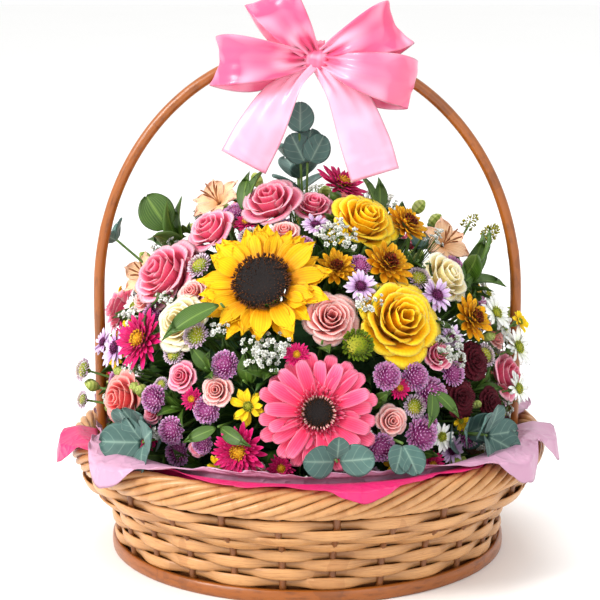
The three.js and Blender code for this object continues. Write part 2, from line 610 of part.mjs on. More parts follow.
function addBlooms() {
  const sunflower = { kind: 'sunflower', at: [-17, 51, 184], radius: 54, stem: 3.6 };
  add('sunflower_rays', bloom(sunflower), 0xfdc40a);
  addDisc('sunflower_disc', sunflower, SUNFLOWER_DISC, 0x3a1c0c);
  const gerbera = { kind: 'gerbera', at: [3, 19, 164], radius: 47, stem: 2.8 };
  add('gerbera_rays', bloom(gerbera), 0xff5082);
  addDisc('gerbera_disc', gerbera, GERBERA_DISC, 0x1e0f12);

  add('yellow_rose_low', bloom({ kind: 'rose', at: [31, 40, 180], radius: 32 }), 0xfdc81e);
  add('yellow_rose_high', bloom({ kind: 'rose', at: [40, 69, 196], radius: 26 }), 0xfdc81e);
  add('pink_rose_left', bloom({ kind: 'rose', at: [-64, 48, 188], radius: 30 }), 0xf58cb0);
  add('pink_rose_centre', bloom({ kind: 'sprayRose', at: [8, 43, 176], radius: 21 }), 0xfdbebe);
  add('pink_rose_far_left', bloom({ kind: 'sprayRose', at: [-95, 32, 184], radius: 20 }), 0xf58cb0);
  add('salmon_rose', bloom({ kind: 'sprayRose', at: [-61, 15, 174], radius: 21 }), 0xff8c82);
  add('pink_rose_right', bloom({ kind: 'sprayRose', at: [74, 18, 176], radius: 19 }), 0xf07aa6);
  add('cream_rose_left', bloom({ kind: 'sprayRose', at: [-43, 38, 182], radius: 22 }), 0xfae1be);
  add('cream_rose_right', bloom({ kind: 'sprayRose', at: [62, 48, 186], radius: 21 }), 0xfae1be);
  add('spray_roses_top', spray({ stem: [-30, 76], heads: [['sprayRose', -60, 63, 196, 20],
    ['sprayRose', -36, 76, 202, 24], ['sprayRose', 8, 79, 196, 16]] }), 0xf58cb0);
  add('yellow_rose_back', bloom({ kind: 'rose', at: [172, 50, 184], radius: 31 }), 0xfdc81e);
  add('pink_roses_back', spray({ stem: [-150, 40, 2.2], heads: [['sprayRose', -150, 62, 192, 24],
    ['sprayRose', -158, 32, 176, 25], ['sprayRose', -128, 42, 182, 22]] }), 0xf58cb0);

  add('aster_left', bloom({ kind: 'aster', at: [-56, 31, 182], radius: 25, stem: 1.8 }), 0xc80a64);
  add('aster_low', bloom({ kind: 'aster', at: [-18, 8, 168], radius: 22, stem: 1.8 }), 0xc80a64);
  add('aster_top', bloom({ kind: 'aster', at: [70, 82, 206], radius: 22, stem: 1.8 }), 0xc80a64);
  add('bronze_mums_front', spray({ stem: [32, 56], heads: [['bronze', 35, 55, 188, 22], ['bronze', 66, 64, 196, 20],
    ['bronze', 12, 56, 186, 17]] }), 0xf0af14);
  add('bronze_mum_right', bloom({ kind: 'bronze', at: [60, 36, 184], radius: 20, stem: 1.6 }), 0xf0af14);
  add('bronze_mums_back', spray({ stem: [-118, 18], heads: [['bronze', -118, 24, 178, 20],
    ['bronze', -104, 12, 176, 18], ['bronze', -132, 14, 176, 19]] }), 0xf0af14);
  add('pompons_left', spray({ stem: [-36, 20], heads: [['pompon', -47, 18, 172, 12], ['pompon', -39, 11, 170, 12],
    ['pompon', -29, 18, 167, 12], ['pompon', -25, 30, 172, 12], ['pompon', -29, 9, 168, 9]] }), 0xc882c8);
  add('pompons_right', spray({ stem: [28, 21], heads: [['pompon', 23, 27, 174, 12], ['pompon', 32, 26, 173, 12],
    ['pompon', 37, 21, 170, 14], ['pompon', 32, 11, 168, 14], ['pompon', 20, 9, 166, 12]] }), 0xc882c8);
  add('pompons_back', spray({ stem: [153, 20], heads: [['pompon', 146, 34, 178, 14], ['pompon', 160, 26, 174, 15],
    ['pompon', 146, 18, 172, 14], ['pompon', 160, 12, 168, 14]] }), 0xc882c8);
  add('buttons_left', spray({ stem: [-36, 46], heads: [['button', -34, 35, 187, 11],
    ['button', -48, 53, 190, 11]] }), 0xebcdeb);
  add('green_button', bloom({ kind: 'button', at: [15, 35, 180], radius: 13, stem: 1.5 }), 0x6e9614);
  add('purple_daisy_left', bloom({ kind: 'daisy', at: [-72, 26, 180], radius: 18, stem: 1.4 }), 0xd2b4e6);
  add('purple_daisies_right', spray({ stem: [34, 47], heads: [['daisy', 19, 49, 190, 14],
    ['daisy', 48, 44, 188, 16]] }), 0xd2b4e6);
  add('white_daisies_right', spray({ stem: [92, 26], heads: [['daisy', 88, 38, 186, 16], ['daisy', 80, 30, 186, 16],
    ['daisy', 96, 22, 182, 16]] }), 0xf6f4ee);
  add('white_daisies_back', spray({ stem: [125, 30], heads: [['daisy', 122, 44, 184, 17], ['daisy', 128, 28, 178, 17],
    ['daisy', 112, 16, 176, 17]] }), 0xf6f4ee);
  add('yellow_daisies', spray({ stem: [-20, 14], heads: [['daisy', -17, 20, 164, 15],
    ['daisy', -24, 3, 166, 11]] }), 0xfadc32);
  add('carnations_right', spray({ stem: [56, 20], heads: [['carnation', 58, 26, 176, 18],
    ['carnation', 48, 18, 172, 18], ['carnation', 61, 14, 174, 15]] }), 0x4a0a18);
}

function addGreens() {
  add('alstroemeria_left', spray({ stem: [-98, 44], heads: [['lily', -88, 44, 188, 20], ['bud', -100, 52, 196, 4.5],
    ['bud', -106, 44, 194, 4.5]] }), 0xdcaa82);
  add('alstroemeria_top', spray({ stem: [-112, 68], heads: [['lily', -100, 68, 206, 22], ['bud', -125, 62, 202, 5],
    ['bud', -140, 72, 208, 5]] }), 0xdcaa82);
  add('alstroemeria_right', spray({ stem: [96, 54], heads: [['lily', 90, 54, 194, 22], ['bud', 92, 64, 204, 5],
    ['bud', 110, 56, 200, 5]] }), 0xdcaa82);
  add('gypsophila_top', mist({ at: [14, 64, 196], spread: 17, count: 8 }), 0xf4f2ea);
  add('gypsophila_centre', mist({ at: [-12, 33, 177], spread: 15, count: 10 }), 0xf4f2ea);
  add('gypsophila_right', mist({ at: [44, 32, 180], spread: 17, count: 8 }), 0xf4f2ea);
  add('gypsophila_back', mist({ at: [-178, 70, 196], spread: 24, count: 8 }), 0xf4f2ea);

  const roundLeaves = (from, pitch, length, turns) => turns.map((turn, i) => ({
    from: from + Math.floor(i / 2) * pitch,
    lean: 62 - i * 3,
    turn,
    length,
    width: length * 0.95,
    round: true,
  }));
  const lowLeft = roundLeaves(154, 12, 28, [-8, 176, 50, 125, 88]);
  const low = roundLeaves(144, 13, 20, [0, 180, 80, 260]);
  const lowRight = roundLeaves(152, 12, 27, [-12, 192, 20, 160, 60]);
  const top = roundLeaves(196, 11, 27, [0, 180, 80, 260, 160]);
  add('eucalyptus_left', leafyStem({ at: [-50, 8, 180], leaves: lowLeft }), 0x64968f);
  add('eucalyptus_front', leafyStem({ at: [9, 0, 165], leaves: low }), 0x64968f);
  add('eucalyptus_right', leafyStem({ at: [50, 8, 178], leaves: lowRight }), 0x64968f);
  add('eucalyptus_top', leafyStem({ at: [-160, 84, 222], leaves: top }), 0x64968f);

  const fan = (from, list) => list.map(([turn, lean, length, width]) => (
    { from, lean, turn, length, width, arch: length * 0.08 }));
  const centre = fan(136, [[70, 24, 44, 15], [160, 44, 44, 16], [230, 40, 36, 14]]);
  const right = fan(178, [[20, 40, 46, 16], [150, 34, 52, 17], [95, 14, 54, 16], [250, 50, 42, 15]]);
  const left = fan(178, [[200, 40, 48, 16], [60, 30, 50, 16], [120, 14, 52, 16], [320, 50, 44, 15]]);
  left.push({ from: 204, lean: 14, turn: 0, length: 32, width: 30, round: true });
  const back = fan(146, [[0, 55, 52, 18], [60, 40, 50, 17], [120, 40, 52, 18], [180, 55, 50, 18]]);
  add('leaves_centre', leafyStem({ at: [-26, 32, 158], leaves: centre }), 0x46641a);
  add('leaves_right', leafyStem({ at: [82, 45, 198], leaves: right }), 0x46641a);
  add('leaves_left', leafyStem({ at: [-86, 56, 207], leaves: left }), 0x46641a);
  add('leaves_back', leafyStem({ at: [-176, 14, 172], leaves: back }), 0x46641a);
  add('goldenrod', spray({ stem: [104, 42, 1.5], heads: [['bud', 100, 46, 222, 4], ['bud', 106, 44, 224, 4],
    ['bud', 104, 50, 218, 4]] }), 0xb4aa28);
}

addBasket();
addTrim();
addBlooms();
addGreens();
add('floral_foam', foamBody(), 0x3c6b3a, 0.95);

export default arrangement;
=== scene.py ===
"""Flower basket arrangement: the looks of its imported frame.

A round willow basket with a bent cane handle, a satin bow, paper collars and a mound of cut
flowers. Sizes are in millimetres, and a piece is scaled to metres when its mesh is made.
"""
import json
import logging
import math
from collections.abc import Callable, Sequence
from dataclasses import dataclass, field, replace
from enum import Enum

import bpy
import numpy as np
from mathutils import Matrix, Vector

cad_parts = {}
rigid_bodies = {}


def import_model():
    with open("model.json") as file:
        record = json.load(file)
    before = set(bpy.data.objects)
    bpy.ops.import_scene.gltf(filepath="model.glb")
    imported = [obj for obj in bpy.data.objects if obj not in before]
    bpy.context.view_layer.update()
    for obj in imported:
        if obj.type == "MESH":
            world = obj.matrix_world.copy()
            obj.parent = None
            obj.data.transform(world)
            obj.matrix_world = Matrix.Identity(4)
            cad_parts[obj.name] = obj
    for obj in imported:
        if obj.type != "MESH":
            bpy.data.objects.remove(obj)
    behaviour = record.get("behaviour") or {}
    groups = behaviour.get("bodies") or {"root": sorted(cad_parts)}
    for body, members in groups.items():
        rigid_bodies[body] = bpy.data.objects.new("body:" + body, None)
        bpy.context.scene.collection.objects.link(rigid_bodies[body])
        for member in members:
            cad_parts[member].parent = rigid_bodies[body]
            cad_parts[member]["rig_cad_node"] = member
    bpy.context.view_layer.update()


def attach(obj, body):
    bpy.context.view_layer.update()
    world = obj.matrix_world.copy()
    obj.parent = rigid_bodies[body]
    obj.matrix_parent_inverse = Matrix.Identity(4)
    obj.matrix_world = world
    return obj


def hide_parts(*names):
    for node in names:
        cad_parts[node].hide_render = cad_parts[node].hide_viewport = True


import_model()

LOG = logging.getLogger("flower_basket")
MM = 0.001
BODY = "root"
PETAL_KEYS = ("along", "across", "shade", "ring")
TURN = 2 * math.pi
GOLDEN_TURN = math.pi * (3.0 - math.sqrt(5.0))
UP = np.array([0.0, 0.0, 1.0])
# The mound's middle, which every stem points to, and how far from it stems end and sprays fork
FOCUS = np.array([0.0, 8.0, 95.0])
STEM_END = 80.0
SPRAY_FORK = 126.0
# Where a stem meets its head, as a share of the radius below it, and how thick a spray's twigs are
NECK = 0.44
TWIG_SHARE = 0.75
# The middle line of the border
RIM_RADIUS = 186.5

Colour = tuple[float, float, float]
# A point, or azimuth, elevation and reach on the mound; a head has its radius too
Place = tuple[float, float, float]
Head = tuple[float, float, float, float]


def tone(code: str) -> Colour:
    """Turns a display colour, as six hexadecimal digits, into a linear one."""
    shares = (int(code[i:i + 2], 16) / 255.0 for i in (0, 2, 4))
    return tuple((c / 12.92 if c <= 0.04045 else ((c + 0.055) / 1.055) ** 2.4) for c in shares)


def tones(codes: str) -> tuple[Colour, ...]:
    """Turns several display colours, with spaces between, into linear ones."""
    return tuple(tone(code) for code in codes.split())


def operator(operation: str, swapped: bool = False) -> Callable[["Wire", object], "Wire"]:
    """Makes an operator that adds a math node.

    Args:
        operation: The math node's operation.
        swapped: Whether the wire stands to the right of the operator.

    Returns:
        The operator.
    """
    def run(wire: "Wire", other: object) -> "Wire":
        """Adds the math node."""
        first, second = (other, wire) if swapped else (wire, other)
        return wire.wiring.math(operation, first, second)
    return run


@dataclass
class Wire:
    """A node's output; a sum, product or power of it adds a math node to its tree."""

    wiring: "Wiring"
    socket: bpy.types.NodeSocket
    __add__ = operator("ADD")
    __radd__ = operator("ADD", True)
    __sub__ = operator("SUBTRACT")
    __rsub__ = operator("SUBTRACT", True)
    __mul__ = operator("MULTIPLY")
    __rmul__ = operator("MULTIPLY", True)
    __truediv__ = operator("DIVIDE")
    __mod__ = operator("MODULO")
    __pow__ = operator("POWER")


class Wiring:
    """Adds nodes to a node tree and links them."""

    tree: bpy.types.NodeTree

    def feed(self, socket: bpy.types.NodeSocket, value: object) -> None:
        """Links a socket to another, or gives it a plain value.

        Args:
            socket: The input socket.
            value: A wire, a socket, a number or a colour.
        """
        if isinstance(value, Wire):
            value = value.socket
        if isinstance(value, bpy.types.NodeSocket):
            self.tree.links.new(value, socket)
        elif isinstance(value, tuple) and len(value) == 3 and socket.type == "RGBA":
            socket.default_value = (*value, 1.0)
        else:
            socket.default_value = value

    def add(self, kind: str, inputs: dict[str, object], **settings: object) -> bpy.types.Node:
        """Adds a node.

        Args:
            kind: The node's type name.
            inputs: Values, sockets or wires by input name.
            settings: Properties of the node.

        Returns:
            The node.
        """
        made = self.tree.nodes.new(kind)
        for key, value in settings.items():
            setattr(made, key, value)
        for key, value in inputs.items():
            self.feed(next(s for s in made.inputs if s.name == key and s.enabled), value)
        return made

    def math(self, operation: str, first: object, second: object = 0.0) -> Wire:
        """Adds a math node.

        Args:
            operation: The operation's name.
            first: The first number or wire.
            second: The second number or wire.

        Returns:
            The result.
        """
        made = self.add("ShaderNodeMath", {}, operation=operation)
        self.feed(made.inputs[0], first)
        self.feed(made.inputs[1], second)
        return Wire(self, made.outputs[0])


class Recipe(Wiring):
    """Builds the node tree of one material."""

    def __init__(self, name: str) -> None:
        """Starts an empty material.

        Args:
            name: The material's name.
        """
        self.material = bpy.data.materials.new(name)
        self.material.use_nodes = True
        self.tree = self.material.node_tree
        self.surface = self.tree.nodes["Principled BSDF"]

    def blend(self, share: object, low: object, high: object, kind: str = "MIX") -> Wire:
        """Mixes two colours.

        Args:
            share: How much of the second colour.
            low: The first colour.
            high: The second colour.
            kind: The blend type.

        Returns:
            The mixed colour.
        """
        made = self.add("ShaderNodeMix", {}, data_type="RGBA", blend_type=kind)
        for place, value in ((0, share), (6, low), (7, high)):
            self.feed(made.inputs[place], value)
        return Wire(self, made.outputs[2])

    def ramp(self, share: object, stops: list[tuple[float, Colour]]) -> Wire:
        """Maps a number to a run of colours.

        Args:
            share: The number, from 0 to 1.
            stops: Places and colours.

        Returns:
            The colour.
        """
        made = self.add("ShaderNodeValToRGB", {"Fac": share})
        while len(made.color_ramp.elements) < len(stops):
            made.color_ramp.elements.new(0.5)
        for element, (place, colour) in zip(made.color_ramp.elements, stops):
            element.position = place
            element.color = (*colour, 1.0)
        return Wire(self, made.outputs["Color"])

    def noise(self, scale: float, detail: float) -> Wire:
        """Adds a noise on object coordinates, with so many lumps a metre and so many octaves."""
        place = self.add("ShaderNodeTexCoord", {}).outputs["Object"]
        made = self.add("ShaderNodeTexNoise", {"Vector": place, "Scale": scale, "Detail": detail})
        return Wire(self, made.outputs["Fac"])

    def grain(self, place: tuple[object, ...], detail: float, roughness: float = 0.5) -> Wire:
        """Adds a noise over a piece's own coordinates.

        Args:
            place: The three coordinates.
            detail: How many octaves it has.
            roughness: How strong the finer ones are.

        Returns:
            The noise.
        """
        spot = self.add("ShaderNodeCombineXYZ", dict(zip("XYZ", place))).outputs[0]
        made = self.add("ShaderNodeTexNoise",
                        {"Vector": spot, "Scale": 1.0, "Detail": detail, "Roughness": roughness})
        return Wire(self, made.outputs["Fac"])

    def petal(self) -> dict[str, Wire]:
        """Reads the petal coordinates.

        Returns:
            along, across, shade and ring.
        """
        read = self.add("ShaderNodeAttribute", {}, attribute_name="petal")
        split = self.add("ShaderNodeSeparateColor", {"Color": read.outputs["Color"]})
        sockets = (*(split.outputs[i] for i in range(3)), read.outputs["Alpha"])
        return {key: Wire(self, socket) for key, socket in zip(PETAL_KEYS, sockets)}

    def bump(self, height: object, strength: float, distance: float) -> None:
        """Gives the surface a relief.

        Args:
            height: The height.
            strength: How strong it is.
            distance: How high it is, in metres.
        """
        made = self.add("ShaderNodeBump", {"Height": height, "Strength": strength, "Distance": distance})
        self.tree.links.new(made.outputs["Normal"], self.surface.inputs["Normal"])

    def finish(self, colour: object, **sockets: object) -> bpy.types.Material:
        """Sets the surface's colour and plain values.

        Args:
            colour: The colour.
            sockets: Plain values by socket name, with underscores for spaces.

        Returns:
            The material.
        """
        self.feed(self.surface.inputs["Base Color"], colour)
        for key, value in sockets.items():
            self.feed(self.surface.inputs[key.replace("_", " ")], value)
        return self.material


class Finish:
    """A surface finish, whose material is made once."""

    made: dict[str, bpy.types.Material] = {}
    name: str

    def material(self) -> bpy.types.Material:
        """Gives the finish's material.

        Returns:
            The material.
        """
        if self.name not in Finish.made:
            Finish.made[self.name] = self.build()
        return Finish.made[self.name]

    def build(self) -> bpy.types.Material:
        """Makes the material; each finish has its own way."""
        raise NotImplementedError


@dataclass(frozen=True)
class PetalFinish(Finish):
    """A petal: colours from root to tip, a painted highlight on its edge and tip, fine veins and a darker
    heart.
    """

    name: str
    root: Colour
    middle: Colour
    tip: Colour
    edge_highlight: Colour
    edge_highlight_share: float = 0.35
    heart: Colour = (0.0, 0.0, 0.0)
    heart_share: float = 0.0
    veins: float = 9.0
    vein_share: float = 0.16
    roughness: float = 0.55
    turn: float = 0.5
    glow: float = 0.08

    def build(self) -> bpy.types.Material:
        """Makes the petal's material.

        Returns:
            The material.
        """
        r = Recipe(self.name)
        p = r.petal()
        place = p["along"] + (r.noise(160.0, 4.0) - 0.5) * 0.22
        colour = r.ramp(place, [(0.0, self.root), (self.turn, self.middle), (1.0, self.tip)])
        # Painted highlight: the petal's sides and tip are lightened towards the edge colour
        rim = r.math("MAXIMUM", r.math("ABSOLUTE", p["across"]) ** 3.0, p["along"] ** 9.0)
        colour = r.blend(rim * self.edge_highlight_share, colour, self.edge_highlight)
        wave = r.math("SINE", p["across"] * (self.veins * math.pi))
        line = r.math("ABSOLUTE", wave) ** 4.0 * self.vein_share
        colour = r.blend(line, colour, r.blend(1.0, colour, self.root, "MULTIPLY"))
        if self.heart_share > 0.0:
            colour = r.blend((1.0 - p["ring"]) ** 1.6 * self.heart_share, colour, self.heart)
        dim = 0.78 + p["shade"] * 0.34
        grey = r.add("ShaderNodeCombineColor", {"Red": dim, "Green": dim, "Blue": dim})
        colour = r.blend(1.0, colour, grey.outputs[0], "MULTIPLY")
        r.bump(wave * 0.4 + r.noise(420.0, 5.0), 0.35, 0.0004)
        return r.finish(colour, Roughness=self.roughness, Sheen_Weight=0.04, Sheen_Roughness=0.4,
                        Subsurface_Weight=self.glow, Subsurface_Radius=(0.003, 0.0015, 0.001),
                        Subsurface_Scale=1.0, Specular_IOR_Level=0.16)


@dataclass(frozen=True)
class LeafFinish(Finish):
    """A leaf: a pale midrib, side veins or parallel ones, and mottled green."""

    name: str
    dark: Colour
    light: Colour
    vein: Colour
    parallel: bool = False
    roughness: float = 0.42
    bloom: float = 0.0

    def build(self) -> bpy.types.Material:
        """Makes the leaf's material.

        Returns:
            The material.
        """
        r = Recipe(self.name)
        p = r.petal()
        wide = r.math("ABSOLUTE", p["across"])
        colour = r.blend(r.noise(90.0, 4.0), self.dark, self.light)
        colour = r.blend(p["shade"] * 0.55, colour, self.light)
        if self.parallel:
            line = r.math("ABSOLUTE", r.math("SINE", p["across"] * 26.0)) ** 6.0
        else:
            line = r.math("MAXIMUM", r.math("SINE", p["along"] * 26.0 - wide * 9.0), 0.0) ** 14.0
        rib = (1.0 - r.math("MINIMUM", wide, 1.0)) ** 22.0
        colour = r.blend(line * 0.3, colour, self.vein)
        colour = r.blend(rib * 0.85, colour, self.vein)
        r.bump((line + rib) * 0.7 + r.noise(300.0, 4.0), 0.4, 0.0005)
        return r.finish(colour, Roughness=self.roughness, Sheen_Weight=self.bloom,
                        Sheen_Roughness=0.6, Specular_IOR_Level=0.4)


@dataclass(frozen=True)
class WillowFinish(Finish):
    """Peeled willow or cane: long grain, darker streaks, a worn gloss, and a stain colour that also paints
    shade where the stored shade is high.
    """

    name: str
    pale: Colour
    deep: Colour
    stain_and_painted_shade: Colour
    roughness: float = 0.42
    streaks: float = 7.0

    def build(self) -> bpy.types.Material:
        """Makes the willow's material.

        Returns:
            The material.
        """
        r = Recipe(self.name)
        p = r.petal()
        grain = r.grain((p["along"] * 60.0, p["across"] * self.streaks, p["ring"] * 31.0), 6.0, 0.65)
        patch = r.noise(24.0, 3.0)
        colour = r.ramp(grain, [(0.28, self.deep), (0.5, self.pale), (1.0, self.pale)])
        colour = r.blend(patch * 0.35, colour, self.deep)
        colour = r.blend(r.math("GREATER_THAN", patch, 0.62) * 0.35, colour, self.deep)
        # A light stain on stakes, base and border strands; painted shade on the backing, the border's core and
        # where weavers dip behind stakes
        colour = r.blend(p["shade"] * 0.8, colour, self.stain_and_painted_shade)
        r.bump(grain + r.noise(700.0, 2.0) * 0.3, 0.5, 0.0007)
        return r.finish(colour, Roughness=self.roughness, Coat_Weight=0.18, Coat_Roughness=0.3)


# The pale pink of the painted highlight bands on satin
SATIN_PAINTED_HIGHLIGHT = tone("f6bad2")


@dataclass(frozen=True)
class ClothFinish(Finish):
    """Satin or paper: a plain colour with its own weave or crumple, a deeper colour painted as shade where the
    stored shade is high, and painted highlight bands on satin.
    """

    name: str
    face: Colour
    # The deeper colour: random mottling, and painted shade where the stored shade is high
    fold: Colour
    roughness: float
    sheen: float
    slip: float
    crumple: float
    # Whether it is satin, with a weave relief, a run map and painted highlight bands
    weave: bool

    def build(self) -> bpy.types.Material:
        """Makes the cloth's material.

        Returns:
            The material.
        """
        r = Recipe(self.name)
        p = r.petal()
        colour = r.blend(r.noise(30.0, 3.0) * 0.5, self.face, self.fold)
        # Painted shade: the ribbon's back and the paper's tucked part take the deeper colour
        colour = r.blend(p["shade"] * 0.9, colour, self.fold)
        if self.weave:
            # Painted highlight: pale bands across the ribbon, laid into its colour
            wave = r.grain((p["along"] * 6.5 + r.noise(9.0, 0.0) * 3.6, p["across"] * 0.7, 0.0), 1.0)
            painted_highlight = r.math("MAXIMUM", (wave - 0.48) * 3.2, 0.0)
            colour = r.blend(r.math("MINIMUM", painted_highlight, 0.7), colour, SATIN_PAINTED_HIGHLIGHT)
            r.bump(r.math("SINE", p["across"] * 260.0), 0.05, 0.0001)
            tangent = r.add("ShaderNodeTangent", {}, direction_type="UV_MAP", uv_map="run")
            r.feed(r.surface.inputs["Tangent"], tangent.outputs[0])
        else:
            side = r.math("ABSOLUTE", r.noise(46.0, 2.0) - 0.5)
            ridge = (1.0 - side * 2.0) ** 9.0
            r.bump(ridge + r.noise(900.0, 2.0) * 0.1, self.crumple, 0.003)
        return r.finish(colour, Roughness=self.roughness, Sheen_Weight=self.sheen,
                        Sheen_Roughness=0.35, Anisotropic=self.slip)


@dataclass(frozen=True)
class PlainFinish(Finish):
    """Foam, moulded plastic, stems or the floor: two tones in a fine grain."""

    name: str
    light: Colour
    dark: Colour
    scale: float
    roughness: float
    relief: float

    def build(self) -> bpy.types.Material:
        """Makes the plain material.

        Returns:
            The material.
        """
        r = Recipe(self.name)
        speck = r.noise(self.scale, 6.0)
        r.bump(speck, 0.5, self.relief)
        return r.finish(r.blend(speck, self.dark, self.light), Roughness=self.roughness)


@dataclass
class Shell:
    """One closed surface: its points, its faces and each point's petal coordinates."""

    points: np.ndarray
    loops: np.ndarray
    sizes: np.ndarray
    marks: np.ndarray

    def moved(self, turn: np.ndarray, place: np.ndarray, scale: float = 1.0) -> "Shell":
        """Gives a copy at a place.

        Args:
            turn: A rotation matrix.
            place: Where the origin goes.
            scale: How much larger it gets.

        Returns:
            The copy.
        """
        return replace(self, points=(self.points * scale) @ turn.T + place)


def lens(grid: np.ndarray, thickness: float, shade: float = 0.5, ring: float = 1.0) -> Shell:
    """Makes a thin closed leaf from a grid of points; its two faces meet at the rim.

    Args:
        grid: The points, by row along the leaf and by column across it.
        thickness: The thickness in the middle.
        shade: The shade, from 0 to 1.
        ring: The place of the leaf from the heart outwards.

    Returns:
        The leaf.
    """
    rows, columns, _ = grid.shape
    ahead = np.gradient(grid, axis=0)
    aside = np.gradient(grid, axis=1)
    normal = np.cross(ahead, aside)
    normal /= np.maximum(np.linalg.norm(normal, axis=2, keepdims=True), 1e-9)
    front = np.arange(rows * columns).reshape(rows, columns)
    back = front.copy()
    inner = (rows - 2) * (columns - 2)
    back[1:-1, 1:-1] = rows * columns + np.arange(inner).reshape(rows - 2, columns - 2)
    under = (grid - normal * thickness)[1:-1, 1:-1].reshape(-1, 3)
    quads = []
    for ids, flip in ((front, False), (back, True)):
        quad = np.stack([ids[:-1, :-1], ids[1:, :-1], ids[1:, 1:], ids[:-1, 1:]], axis=-1).reshape(-1, 4)
        quads.append(quad[:, ::-1] if flip else quad)
    faces = np.concatenate(quads)
    along, across = np.meshgrid(np.linspace(0, 1, rows), np.linspace(-1, 1, columns), indexing="ij")
    face = np.stack([along, across, np.full_like(along, shade), np.full_like(along, ring)], axis=-1)
    marks = np.concatenate([face.reshape(-1, 4), face[1:-1, 1:-1].reshape(-1, 4)])
    return Shell(np.concatenate([grid.reshape(-1, 3), under]), faces.reshape(-1),
                 np.full(len(faces), 4), marks)


def frames(path: np.ndarray) -> tuple[np.ndarray, np.ndarray]:
    """Carries a frame along a path without turning it.

    Args:
        path: The path's points.

    Returns:
        Two directions square to the path, at each point.
    """
    ahead = np.gradient(path, axis=0)
    ahead /= np.linalg.norm(ahead, axis=1, keepdims=True)
    start = np.array([0.0, 1.0, 0.0]) if abs(ahead[0][1]) < 0.8 else np.array([1.0, 0.0, 0.0])
    sides = []
    for step in ahead:
        start = start - step * start.dot(step)
        start = start / np.linalg.norm(start)
        sides.append(start)
    side = np.array(sides)
    return side, np.cross(ahead, side)


def tube(path: np.ndarray, radii: np.ndarray, sides: int, shade: float = 0.0, ring: float = 0.0) -> Shell:
    """Makes a closed rod along a path.

    Args:
        path: The path's points.
        radii: The radius at each point.
        sides: How many sides it has.
        shade: The shade, from 0 to 1.
        ring: A number that sets its grain apart.

    Returns:
        The rod.
    """
    side, other = frames(path)
    turn = np.linspace(0, TURN, sides, endpoint=False)
    reach = radii[:, None, None]
    skin = path[:, None] + reach * (side[:, None] * np.cos(turn)[None, :, None]
                                    + other[:, None] * np.sin(turn)[None, :, None])
    ids = np.arange(len(path) * sides).reshape(len(path), sides)
    nxt = np.roll(ids, -1, axis=1)
    quads = np.stack([ids[:-1], nxt[:-1], nxt[1:], ids[1:]], axis=-1).reshape(-1, 4)
    loops = np.concatenate([quads.reshape(-1), ids[0][::-1], ids[-1]])
    sizes = np.concatenate([np.full(len(quads), 4), [sides, sides]])
    along = np.repeat(np.linspace(0, 1, len(path)), sides)
    across = np.tile(np.abs(np.linspace(-1, 1, sides)), len(path))
    flat = np.ones(len(along))
    return Shell(skin.reshape(-1, 3), loops, sizes,
                 np.stack([along, across, flat * shade, flat * ring], axis=1))


def turned(profile: list[tuple[float, float]], steps: int, wave: float = 0.0, waves: int = 0) -> Shell:
    """Turns a profile round the axis; points on the axis become one pole.

    Args:
        profile: Radius and height, anticlockwise seen with the radius to the right.
        steps: How many steps round.
        wave: How deep the surface waves, as a share of the radius.
        waves: How many waves round.

    Returns:
        The turned piece.
    """
    closed = profile[0] == profile[-1]
    line = profile[:-1] if closed else profile
    points, rows, marks = [], [], []
    for i, (radius, height) in enumerate(line):
        along = i / len(line)
        if radius == 0.0:
            rows.append([len(points)] * steps)
            points.append((0.0, 0.0, height))
            marks.append((along, 0.0, 0.0, 0.0))
            continue
        rows.append(list(range(len(points), len(points) + steps)))
        for j in range(steps):
            angle = TURN * j / steps
            far = radius * (1 + wave * math.cos(waves * angle))
            points.append((far * math.cos(angle), far * math.sin(angle), height))
            marks.append((j / steps, 2 * along - 1, 0.0, 0.0))
    loops, sizes = [], []
    bands = len(rows) if closed else len(rows) - 1
    for i in range(bands):
        low, high = rows[i], rows[(i + 1) % len(rows)]
        for j in range(steps):
            k = (j + 1) % steps
            face = list(dict.fromkeys([low[j], low[k], high[k], high[j]]))
            loops.extend(face)
            sizes.append(len(face))
    return Shell(np.array(points), np.array(loops), np.array(sizes), np.array(marks))


def joined(shells: list[Shell]) -> Shell:
    """Puts shells together.

    Args:
        shells: The shells.

    Returns:
        One shell with the faces of all.
    """
    shift = np.cumsum([0] + [len(s.points) for s in shells[:-1]])
    return Shell(np.concatenate([s.points for s in shells]),
                 np.concatenate([s.loops + d for s, d in zip(shells, shift)]),
                 np.concatenate([s.sizes for s in shells]), np.concatenate([s.marks for s in shells]))


def bare_mesh(name: str, shell: Shell, scale: float = 1.0) -> bpy.types.Mesh:
    """Makes a mesh of a shell's points and faces.

    Args:
        name: The mesh's name.
        shell: The shell.
        scale: How much larger the mesh is than the shell.

    Returns:
        The mesh.
    """
    mesh = bpy.data.meshes.new(name)
    mesh.vertices.add(len(shell.points))
    mesh.vertices.foreach_set("co", (shell.points * scale).astype(np.float32).reshape(-1))
    mesh.loops.add(len(shell.loops))
    mesh.loops.foreach_set("vertex_index", shell.loops.astype(np.int32))
    mesh.polygons.add(len(shell.sizes))
    starts = np.concatenate([[0], np.cumsum(shell.sizes)[:-1]])
    mesh.polygons.foreach_set("loop_start", starts.astype(np.int32))
    mesh.update(calc_edges=True)
    return mesh


def in_scene(name: str, data: bpy.types.ID) -> bpy.types.Object:
    """Puts a mesh, light or camera in the scene.

    Args:
        name: The object's name.
        data: What it holds.

    Returns:
        The object.
    """
    made = bpy.data.objects.new(name, data)
    bpy.context.scene.collection.objects.link(made)
    return made


